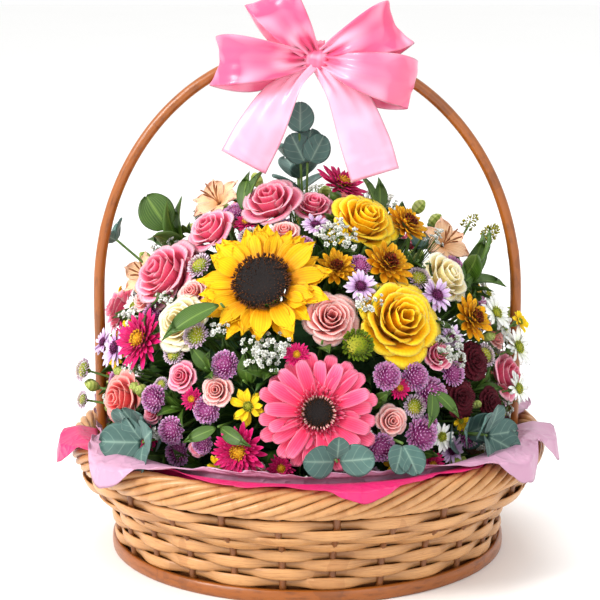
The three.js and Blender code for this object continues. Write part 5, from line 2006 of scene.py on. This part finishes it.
@dataclass
class Filling:
    """Small flowers, buds and leaves that close the gaps between the blooms."""

    greenery: Greenery
    tries: int = 430
    root_reach: float = 104.0
    stem_radius: float = 1.1
    low_reach: float = 156.0
    reach_gain: float = 38.0
    least_room: float = 2.0
    most_room: float = 12.0
    overlap: float = 5.0
    sink: float = 14.0

    def __post_init__(self) -> None:
        """Notes where the blooms are and makes a sheaf for each sort."""
        self.rng = np.random.default_rng(31)
        self.sheaves = {filler: Sheaf() for filler in Filler}
        self.heads = [(toward(a, e), reach, radius)
                      for bloom in BLOOMS for a, e, reach, radius in bloom.heads]

    def room(self, way: np.ndarray) -> float:
        """Gives how far a way from the mound's middle passes from the nearest bloom."""
        return min(math.acos(min(1.0, float(way.dot(at)))) * reach - radius * 0.8
                   for at, reach, radius in self.heads)

    def gaps(self) -> list[Head]:
        """Finds the gaps, on a spiral over the mound.

        Returns:
            Azimuth, elevation, reach and room of each.
        """
        found = []
        for i in range(self.tries):
            rise = -0.06 + 1.04 * (i + 0.5) / self.tries
            azimuth = math.degrees(i * GOLDEN_TURN) % 360 - 180
            elevation = math.degrees(math.asin(rise))
            way = toward(azimuth, elevation)
            room = self.room(way)
            if room > self.least_room:
                reach = self.low_reach + self.reach_gain * max(rise, 0.0)
                found.append((azimuth, elevation, reach, min(room + self.overlap, self.most_room)))
        return found

    def leaves(self, filler: Filler, way: np.ndarray, place: np.ndarray) -> None:
        """Adds a few leaves that lean out of a gap.

        Args:
            filler: Round leaves or long ones.
            way: The way out of the mound.
            place: The gap's place.
        """
        side = np.cross(way, [0.1, 0.2, 1.0])
        axis, up = way, np.cross(side, way)
        broad = filler is Filler.ROUND
        shape = Petal(1.0, 0.4, root=0.2, waist=0.45, tip=0.08, point=0.2, cup=0.14, rise=22, fall=-30,
                      columns=5, rows=9, thickness=0.5)
        if broad:
            shape = replace(shape, width=0.9, point=0.0, blunt=0.6)
        for k in range(2 if broad else 4):
            turn = 2.4 * k + self.rng.uniform(0, 6)
            out = side * math.cos(turn) + up * math.sin(turn)
            out = out / np.linalg.norm(out)
            lean = self.rng.uniform(0.35, 0.9)
            direction = axis * math.cos(lean) + out * math.sin(lean)
            face = axis * math.sin(lean) - out * math.cos(lean)
            long = float(self.rng.uniform(18, 24) if broad else self.rng.uniform(22, 34))
            tip = place - way * self.sink + direction * long - FOCUS
            if self.room(tip / np.linalg.norm(tip)) < -1.0:
                continue
            shell = shape.shell(long, float(self.rng.uniform(0.2, 1)), turn)
            self.sheaves[filler].add(shell.moved(along_to(direction, face), place - way * self.sink), 0)

    def flower(self, filler: Filler, way: np.ndarray, place: np.ndarray, room: float) -> None:
        """Adds a small flower, or two buds.

        Args:
            filler: Which flower.
            way: The way out of the mound.
            place: Where it goes.
            room: Its radius, before its own share.
        """
        kind, _, _, _, share = SMALL[filler]
        spots = [place, place + np.cross(way, [0.2, 0.1, 1.0]) * 9] if kind is Kind.BUD else [place]
        for spot in spots:
            turn = upright(way + np.array([0.0, -0.35, 0.1]), float(self.rng.uniform(0, 6)))
            for shell, finish in self.greenery.florist.head(kind, room * share):
                self.sheaves[filler].add(shell.moved(turn, spot), finish)

    def sprig(self, kind: Filler, azimuth: float, elevation: float, reach: float, stand: float,
              leaves: tuple) -> None:
        """Adds a sprig of round or long leaves.

        Args:
            kind: Round leaves or long ones.
            azimuth: Its azimuth on the mound.
            elevation: Its elevation.
            reach: How far out it sits.
            stand: How steeply its leaves stand up from the mound.
            leaves: Turn and length of each leaf.
        """
        axis, side, up = axes(azimuth, elevation)
        middle = on_mound(azimuth, elevation, reach)
        sheaf = self.sheaves[kind]
        sheaf.add(rod(on_mound(azimuth, elevation + 4, 110.0), middle, 1.2, 1.0, 6), 1)
        shape = Petal(1.0, 0.92, root=0.12, waist=0.5, tip=0.08, point=0.0, cup=0.1, rise=12, fall=-16,
                      columns=9, rows=15, thickness=0.5, blunt=0.55)
        if kind is Filler.LEAF:
            shape = replace(shape, width=0.36, waist=0.4, tip=0.03, point=0.3, cup=0.2, fall=-26, blunt=0.9)
        for turn, length in leaves:
            out = side * math.cos(math.radians(turn)) + up * math.sin(math.radians(turn))
            direction = out * math.cos(stand) + axis * math.sin(stand)
            face = np.array([0.0, -1.0, 0.2]) if stand > 1 else axis * math.cos(stand) - out * math.sin(stand)
            shell = shape.shell(length, float(self.rng.uniform(0.1, 1)), turn)
            sheaf.add(shell.moved(along_to(direction, face), middle + out * 2), 0)

    def close(self, filler: Filler, azimuth: float, elevation: float, reach: float, room: float) -> None:
        """Closes one gap.

        Args:
            filler: What goes there.
            azimuth: The gap's azimuth on the mound.
            elevation: Its elevation.
            reach: How far out the filler sits.
            room: How wide it may be.
        """
        way = toward(azimuth, elevation)
        place = on_mound(azimuth, elevation, reach)
        root = on_mound(azimuth, elevation, self.root_reach)
        sheaf = self.sheaves[filler]
        if filler is Filler.MIST:
            side = np.cross(way, [0.0, 0.3, 1.0])
            for k in (-1, 0, 1):
                self.greenery.puff(sheaf, root, place + side * 6 * k + way * 5, way, 6)
            return
        sheaf.add(rod(root, place, self.stem_radius, 1.0, 5), 1 if filler in GREENS else 2)
        if filler in GREENS:
            self.leaves(filler, way, place)
        else:
            self.flower(filler, way, place, room)

    def build(self) -> None:
        """Fills the gaps and makes one piece of each sort."""
        for sprig in SPRIGS:
            self.sprig(*sprig)
        for filler, azimuth, elevation, reach, radius in FAR:
            place = on_mound(azimuth, elevation, reach)
            root = on_mound(azimuth * 0.9, elevation, 120.0)
            self.sheaves[filler].add(rod(root, place, self.stem_radius, 1.0, 5), 2)
            self.flower(filler, toward(azimuth, elevation), place, radius)
        for i, gap in enumerate(self.gaps()):
            self.close(ORDER[i % len(ORDER)], *gap)
        for filler, sheaf in self.sheaves.items():
            if filler in GREENS:
                slot, finishes = GREENS[filler]
            else:
                _, petal, slot, heart, _ = SMALL[filler]
                finish = BUD_FINISH if filler is Filler.BUD else PETALS[petal]
                finishes = [finish, HEARTS[heart], STEM]
            sheaf.piece("fill_" + filler.value, slot, finishes)


@dataclass
class Basket:
    """The willow basket, its handle, liner and foam; each profile is radius and height."""

    trees: Trees
    stakes: int = 26
    stake_radius: float = 2.9
    rows: int = 8
    pitch: float = 7.7
    start: float = 12.0
    weaver_half: float = 4.15
    profile: tuple[tuple[float, float], ...] = (
        (0, 157.6), (11.5, 157.6), (12, 160), (44, 164), (50, 171), (56, 179), (62, 185), (76, 187))
    hoop_profile: tuple[tuple[float, float], ...] = (
        (158.4, 0.4), (161.6, 0.2), (162.7, 1.2), (163.1, 5.5), (162.7, 9.8), (161.6, 10.8), (158.4, 10.9),
        (158.4, 0.4))
    tray_profile: tuple[tuple[float, float], ...] = (
        (0.0, 7.35), (138.0, 7.35), (144.0, 62.0), (142.4, 62.0), (136.4, 8.95), (0.0, 8.95))
    base_profile: tuple[tuple[float, float], ...] = (
        (0.0, 0.0), (20.0, 0.0), (60.0, 0.1), (110.0, 0.1), (151.0, 0.0), (151.6, 1.0), (151.6, 6.0),
        (150.6, 7.0), (0.0, 7.0))
    border_core: float = 7.0
    handle_radius: float = 4.7
    handle_leg: tuple[tuple[float, float], ...] = (
        (148, 7.5), (150, 30), (153, 50), (163.5, 74), (170, 98), (171, 130))
    handle_span: float = 171
    handle_spring: float = 209
    handle_rise: float = 201
    straw: WillowFinish = WillowFinish("peeled_willow", *tones("d49e64 9e6430 5c3010"))
    brown: WillowFinish = WillowFinish("brown_willow", *tones("844c1a 5c300e 401e08"))
    cane: WillowFinish = WillowFinish("stained_cane", *tones("9e5614 663208 482006"), 0.34, 4.0)

    def reach(self, height: float) -> float:
        """Gives the wall's outer radius at a height."""
        heights, radii = zip(*self.profile)
        return float(np.interp(height, heights, radii))

    def wall(self) -> None:
        """Weaves the wall over its stakes."""
        rows = []
        for row in range(self.rows):
            height = self.start + (row + 0.5) * self.pitch
            slope = math.atan2(self.reach(height + 3) - self.reach(height - 3), 6.0)
            rows.append({"radius": self.reach(height) - 2.2, "height": height, "slope": slope,
                         "half": self.weaver_half / max(math.cos(slope), 0.6), "over": float(row)})
        values = {"Finish": self.straw.material(), "Stakes": self.stakes, "Steps": 12, "Sides": 10,
                  "Relief": 2.1, "Half Thickness": 1.5, "Swell": 0.2, "Seed": 2}
        sheaf = Sheaf(self.trees.weave.grow(values, rows=rows))
        heights = np.linspace(1.0, 80.0, 15)
        far = np.array([self.reach(z) for z in heights]) - self.stake_radius
        for i in range(self.stakes):
            angle = TURN * i / self.stakes
            path = np.stack([far * math.cos(angle), far * math.sin(angle), heights], axis=1)
            sheaf.add(tube(path, np.full(15, self.stake_radius), 8, 0.2, float(i)), 1)
        # A backing closes the gaps; its full shade darkens it to the stain colour, painted shade between the
        # weavers
        levels = (1.0, 12.0, 44.0, 50.0, 56.0, 62.0, 74.0)
        inner = [(self.reach(z) - 5.0, z) for z in reversed(levels)]
        outer = [(self.reach(z) - 4.2, z) for z in levels]
        backing = turned([*inner, *outer, inner[0]], 96)
        backing.marks[:, 2] = 1.0
        sheaf.add(backing, 1)
        sheaf.piece("woven_wall", "willow", [self.straw, self.brown], ("basket_wall",))

    def border(self) -> None:
        """Winds the plaited border."""
        plait = self.trees.plait.grow({"Finish": self.straw.material(), "Rounds": 8, "Turns": 61,
                                       "Steps": 2400, "Rim Radius": RIM_RADIUS, "Rim Height": 88.0,
                                       "Half Width": 6.8, "Half Height": 9.4, "Strand Radius": 3.3,
                                       "Sides": 8})
        plait.marks[:, 2] = 0.2
        turn = np.linspace(0, TURN, 97)[:, None]
        ring = np.concatenate([RIM_RADIUS * np.cos(turn), RIM_RADIUS * np.sin(turn),
                               np.full_like(turn, 87.0)], axis=1)
        # The core's high shade darkens it towards the stain colour: painted shade between the strands
        core = tube(ring, np.full(97, self.border_core), 8, 0.9)
        Sheaf(plait, core).piece("plaited_border", "willow", [self.straw], ("rim_border",))

    def hoop(self) -> None:
        """Turns the smooth foot hoop."""
        Sheaf(turned(self.hoop_profile, 160)).piece("cane_hoop", "cane", [self.cane], ("foot_hoop",))

    def handle(self) -> None:
        """Bends the cane handle over its two legs."""
        right = [(x, 0.0, z) for x, z in self.handle_leg]
        left = [(-x, 0.0, z) for x, _, z in reversed(right)]
        span = self.handle_span
        arch = [(span * math.cos(math.pi * i / 24), 0.0,
                 self.handle_spring + self.handle_rise * math.sin(math.pi * i / 24)) for i in range(25)]
        path = smooth(np.array([*right, (span, 0, 170), *arch, (-span, 0, 170), *left]), 8)
        along = np.linspace(0, 1, len(path))
        swell = sum(np.exp(-((along - knot) / 0.004) ** 2) for knot in (0.22, 0.47, 0.76))
        rod_along = tube(path, self.handle_radius * (0.97 + 0.05 * swell), 16, 0.0, 3.0)
        Sheaf(rod_along).piece("cane_handle", "cane", [self.cane], ("handle",))

    def inside(self) -> None:
        """Finishes the base, the liner tray and the foam."""
        plastic = PlainFinish("liner_plastic", *tones("324e37 243c2a"), 90.0, 0.35, 0.0002)
        Sheaf(turned(self.tray_profile, 120)).piece("liner_shell", "liner", [plastic], ("liner_tray",))
        disc = Sheaf(turned(self.base_profile, 120))
        turn = np.linspace(0, TURN, 121)
        for i in range(16):
            far = 14.0 + i * 8.6
            wave = 0.5 * np.cos(turn * 20 + math.pi * i)
            ring = np.stack([far * np.cos(turn), far * np.sin(turn), 2.6 + wave], axis=1)
            disc.add(tube(ring, np.full(121, 2.4), 6, 0.1, float(i)))
        disc.piece("woven_base", "willow", [self.straw], ("basket_base",))
        foam = PlainFinish("wet_foam", *tones("346032 183a1c"), 420.0, 0.95, 0.0015)
        shown = next(o for o in bpy.data.objects if o.get("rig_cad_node") and o.name.startswith("floral_foam"))
        shown.data.materials.clear()
        shown.data.materials.append(foam.material())

    def build(self) -> None:
        """Builds the basket from the ground up."""
        self.inside()
        self.hoop()
        self.wall()
        self.border()
        self.handle()


def smooth(points: np.ndarray, steps: int) -> np.ndarray:
    """Runs a smooth line through points.

    Args:
        points: The points, in any number of dimensions.
        steps: How many steps between two of them.

    Returns:
        The line's points.
    """
    padded = np.concatenate([2 * points[:1] - points[1:2], points, 2 * points[-1:] - points[-2:-1]])
    out = []
    for i in range(1, len(padded) - 2):
        a, b, c, d = padded[i - 1:i + 3]
        for t in np.linspace(0, 1, steps, endpoint=False):
            out.append(0.5 * (2 * b + (c - a) * t + (2 * a - 5 * b + 4 * c - d) * t ** 2
                              + (3 * b - a - 3 * c + d) * t ** 3))
    out.append(points[-1])
    return np.array(out)


def face_area(shell: Shell) -> float:
    """Gives the area of one face of a thin sheet.

    Args:
        shell: The sheet.

    Returns:
        The area in square metres.
    """
    quads = shell.loops.reshape(-1, 4)
    p = shell.points[quads] * MM
    cross = np.cross(p[:, 2] - p[:, 0], p[:, 3] - p[:, 1])
    return float(np.linalg.norm(cross, axis=1).sum()) / 4.0


@dataclass(frozen=True)
class Collar:
    """One paper collar: its radius, crest and azimuths, and each corner's azimuth, fold and width."""

    name: str
    node: str
    radius: float
    crest: float
    span: tuple[float, float]
    corners: tuple[tuple[float, float, float], ...]


@dataclass
class Papers:
    """The paper collars, tucked inside the rim and folded over its border."""

    tuck: float = 66.0
    clear: float = 197.0
    columns: int = 220
    rows: int = 25
    thickness: float = 0.35
    pink: ClothFinish = ClothFinish("pink_paper", *tones("de186c a80448"), 0.4, 0.05, 0.0, 0.22, False)
    lilac: ClothFinish = ClothFinish("lilac_paper", *tones("ca9eb6 b07294"), 0.4, 0.05, 0.0, 0.3, False)
    collars: tuple[Collar, ...] = (
        Collar("pink_collar", "pink_paper", 172, 100.2, (-84, 84),
               ((-76, 30, 26), (-14, 20, 24), (12, 26, 30), (40, 16, 16))),
        Collar("lilac_collar", "lilac_paper", 168, 102.6, (-84, 84),
               ((-50, 34, 24), (56, 34, 26), (76, 34, 24))),
        Collar("lilac_collar_back", "lilac_paper_back", 173.4, 100.2, (96, 264),
               ((116, 24, 26), (152, 28, 24), (196, 30, 30), (238, 24, 24))))

    def sheet(self, collar: Collar, seed: int) -> None:
        """Builds one collar as a creased sheet.

        Args:
            collar: The collar.
            seed: What sets its creases apart.
        """
        columns = self.columns
        azimuths = np.linspace(*collar.span, columns)
        reach = [f * (1 - np.minimum(np.abs(azimuths - a) / w, 1) ** 1.5) for a, f, w in collar.corners]
        fold = np.maximum(3.0, np.max(reach, axis=0)) * 1.12
        droop = np.maximum(0.0, collar.radius + fold - self.clear)
        flat = np.zeros(columns)
        far = np.array([flat, flat + 2, 4 + fold * 0.45, 3 + fold * 0.95, 4 + fold]) + collar.radius
        high = np.array([flat + self.tuck - collar.crest, flat, 1.5 + fold * 0.06, 2.4 - droop * 0.7,
                         2.6 - droop * 2.7]) + collar.crest
        places = np.linspace(0, 1, 5)
        v = np.linspace(0, 1, self.rows)
        far = np.array([np.interp(v, places, far[:, i]) for i in range(columns)])
        high = np.array([np.interp(v, places, high[:, i]) for i in range(columns)])
        chance = np.random.default_rng(seed)
        knots = np.arange(collar.span[0], collar.span[1] + 6, 3.2)
        pink = collar.node == "pink_paper"
        stiff = 0.4 if pink else 1.0
        crease = np.interp(azimuths, knots, chance.uniform(-1, 1, len(knots)))[:, None] * stiff
        slant = np.interp((azimuths[:, None] + 16 * v[None, :]) % 41, np.arange(0, 42, 3.0),
                          chance.uniform(0, 1, 14))
        free = np.clip((v - 0.25) / 0.75, 0, 1)[None, :]
        far = far + crease * 1.3 * free
        high = high + (np.abs(crease) * 2.8 + slant * (1.2 if pink else 4.0)) * free
        a = np.radians(azimuths)[:, None]
        grid = np.stack([np.sin(a) * far, -np.cos(a) * far, high], axis=-1)
        shell = lens(grid.transpose(1, 0, 2), self.thickness)
        # Painted shade: the paper deepens towards where it tucks inside the rim
        shell.marks[:, 2] = np.clip(0.35 - 0.3 * shell.marks[:, 0], 0, 1)
        piece = Sheaf(shell).piece(collar.name, "pink_paper" if pink else "lilac_paper",
                                   [self.pink if pink else self.lilac], (collar.node,), True)

    def build(self) -> None:
        """Builds the three collars."""
        for seed, collar in enumerate(self.collars):
            self.sheet(collar, seed + 1)


Station = tuple[tuple[float, float, float], float, float]


@dataclass
class Bow:
    """The satin bow: four loops, two tails and a knot round the handle."""

    knot: tuple[float, float, float] = (7.0, -11.0, 403.0)
    half: float = 20.0
    drop: float = 12.0
    satin: ClothFinish = ClothFinish("pink_satin", *tones("ec7698 da4274"), 0.27, 0.3, 0.6, 0.0, True)
    # A lighter copy of the satin for the tails: painted light
    pale: ClothFinish = ClothFinish("tail_satin_painted_light", *tones("f8b0c6 ee80a4"), 0.27, 0.3, 0.6, 0.0, True)
    bulge: float = 4.0
    loops: tuple[tuple[float, float, float, float], ...] = (
        (-40, 56, 55, 20), (-80, 2, 5, 22), (66, 32, 150, 20), (74, -16, 18, 22))
    tails: tuple[tuple[Station, ...], ...] = (
        (((0, 0, 0), 6, 60), ((-26, -10, -24), 14, 60), ((-44, -17, -54), 19, 70), ((-58, -20, -80), 20, 75)),
        (((0, 0, 0), 6, 110), ((24, -9, -28), 16, 115), ((38, -18, -62), 20, 110), ((47, -24, -90), 20, 105)))

    def strip(self, stations: Sequence[Station]) -> tuple[Shell, float]:
        """Runs a ribbon through stations, gathered where it is narrow and bowed across its width.

        Args:
            stations: Place from the knot, half width and lean of the width from upright.

        Returns:
            The ribbon and its length in metres.
        """
        table = smooth(np.array([[*place, half, lean] for place, half, lean in stations]), 10)
        path, halves, leans = table[:, :3] + np.array(self.knot), table[:, 3], np.radians(table[:, 4])
        ahead = np.gradient(path, axis=0)
        ahead /= np.linalg.norm(ahead, axis=1, keepdims=True)
        hint = np.stack([np.sin(leans), np.zeros(len(leans)), np.cos(leans)], axis=1)
        width = hint - ahead * np.sum(hint * ahead, axis=1, keepdims=True)
        width /= np.linalg.norm(width, axis=1, keepdims=True)
        normal = np.cross(ahead, width)
        u = np.linspace(-1, 1, 25)
        gather = np.clip(1 - halves / self.half, 0, 1)[:, None]
        ripple = np.cos(u * math.pi * 3.2 + 0.6)[None, :] * (0.2 + 5.6 * gather ** 2)
        ripple = ripple + self.bulge * (1 - u ** 2)[None, :] * (halves / self.half)[:, None]
        grid = path[:, None] + width[:, None] * (u[None, :, None] * halves[:, None, None]) \
            + normal[:, None] * ripple[..., None]
        length = float(np.linalg.norm(np.diff(path, axis=0), axis=1).sum()) * MM
        shell = lens(grid, 0.5, 0.12)
        # Painted shade: the ribbon's back, the inner side of the loops, takes the deeper colour
        shell.marks[grid.shape[0] * grid.shape[1]:, 2] = 0.85
        return shell, length

    def loop(self, x: float, z: float, lean: float, depth: float) -> list[Station]:
        """Gives the stations of one loop.

        Args:
            x: How far to the side its point is from the knot.
            z: How far up its point is from the knot.
            lean: The lean of its width from upright, in degrees.
            depth: How far it stands out to the front.

        Returns:
            The stations, out to the point and back.
        """
        half = self.half
        return [((x * 0.07, -2, z * 0.07), 6, lean), ((x * 0.4, -depth, z * 0.4), half * 0.72, lean),
                ((x * 0.82, -depth * 0.9, z * 0.82), half, lean),
                ((x, 0, z - self.drop * 0.4), half * 0.95, lean),
                ((x * 0.6, depth * 0.35, z * 0.6 - self.drop), half * 0.8, lean),
                ((x * 0.07, 2, z * 0.07), 5, lean)]

    def build(self) -> None:
        """Ties the bow."""
        sheaf = Sheaf()
        total, area = 0.0, 0.0
        for i, stations in enumerate([*(self.loop(*sizes) for sizes in self.loops), *self.tails]):
            shell, length = self.strip(stations)
            # The tails take the lighter copy of the satin: painted light
            sheaf.add(shell, 0 if i < len(self.loops) else 1)
            total += length
            area += face_area(shell)
        ribbon = sheaf.piece("bow_ribbon", "satin", [self.satin, self.pale], ("satin_bow",), True)
        knot = self.tie()

    def tie(self) -> bpy.types.Object:
        """Builds the pleated knot and the band round the handle.

        Returns:
            The piece.
        """
        line = [(max(1 - abs(level) ** 2.6, 0.0) ** 0.5, level) for level in np.linspace(-1, 1, 17)]
        body = turned([(0.0, -1.0), *line[1:-1], (0.0, 1.0)], 48)
        x, y, z = body.points.T
        pleat = 1 + 0.05 * np.cos(np.arctan2(y, x) + z * 14)
        points = np.stack([z * 11, x * 8 * pleat, y * 9.5 * pleat], axis=1)
        band = [(6.9 + 0.35 * math.cos(level * 1.8), level) for level in np.linspace(-7, 7, 9)]
        ring = turned([(5.3, -7.0), *band, (5.3, 7.0), (5.3, -7.0)], 48)
        place = np.array([self.knot[0], 0.0, 410.0])
        sheaf = Sheaf(replace(body, points=points + np.array(self.knot)),
                      replace(ring, points=ring.points[:, [2, 0, 1]] + place))
        return sheaf.piece("bow_knot", "satin", [self.satin], (), True)


@dataclass
class Studio:
    """The pale floor, the soft lights and the camera; lengths are in metres."""

    side: float = 6.0
    camera_place: Place = (0.0, -1.7118, 0.5720)
    camera_tilt: float = 77.71
    camera_settings: tuple[tuple[str, float], ...] = (
        ("sensor_width", 36.0), ("lens", 127.85), ("shift_x", -0.0124), ("shift_y", 0.0106),
        ("clip_start", 0.05), ("clip_end", 50.0))
    lights: tuple[tuple[str, Place, float, float, Colour], ...] = (
        ("key", (-1.9, -1.3, 1.6), 0.8, 66.0, (1.0, 0.98, 0.95)),
        ("fill", (1.2, -1.8, 1.2), 1.4, 9.0, (0.95, 0.97, 1.0)),
        ("top", (0.0, 0.6, 2.2), 1.4, 20.0, (1.0, 1.0, 1.0)))

    def light(self, name: str, place: Place, size: float, power: float, colour: Colour) -> None:
        """Adds a soft square light that looks at the basket.

        Args:
            name: Its name.
            place: Where it stands, in metres.
            size: The side of its square, in metres.
            power: Its power in watts.
            colour: Its colour.
        """
        data = bpy.data.lights.new(name, "AREA")
        data.energy = power
        data.size = size
        data.color = colour
        made = in_scene(name, data)
        look = np.array([0.0, 0.0, 0.2]) - np.array(place)
        made.location = place
        made.rotation_euler = Vector(look).to_track_quat("-Z", "Y").to_euler()

    def build(self) -> None:
        """Sets up the studio."""
        sweep = bpy.data.meshes.new("floor")
        corners = ((-1, -1), (1, -1), (1, 1), (-1, 1))
        sweep.from_pydata([(x * self.side, y * self.side, 0) for x, y in corners], [], [(0, 1, 2, 3)])
        sweep.materials.append(PlainFinish("pale_floor", *tones("fcfcfb f9f9f8"), 3.0, 0.7, 0.0).material())
        in_scene("floor", sweep)
        world = bpy.data.worlds.new("studio")
        world.use_nodes = True
        white, strength = world.node_tree.nodes["Background"].inputs[:2]
        white.default_value = (1.0, 1.0, 1.0, 1.0)
        strength.default_value = 1.0
        bpy.context.scene.world = world
        bpy.context.scene.view_settings.view_transform = "Standard"
        for light in self.lights:
            self.light(*light)
        data = bpy.data.cameras.new("camera")
        for key, value in self.camera_settings:
            setattr(data, key, value)
        camera = in_scene("camera", data)
        camera.location = self.camera_place
        camera.rotation_euler = (math.radians(self.camera_tilt), 0.0, 0.0)
        bpy.context.scene.camera = camera


def main() -> None:
    """Builds the arrangement in order."""
    logging.basicConfig(level=logging.INFO, format="%(name)s %(message)s")
    Studio().build()
    trees = Trees()
    Basket(trees).build()
    Papers().build()
    Bow().build()
    Garden(trees).build()
    greenery = Greenery(trees)
    greenery.build()
    Filling(greenery).build()


if __name__ == "__main__":
    main()
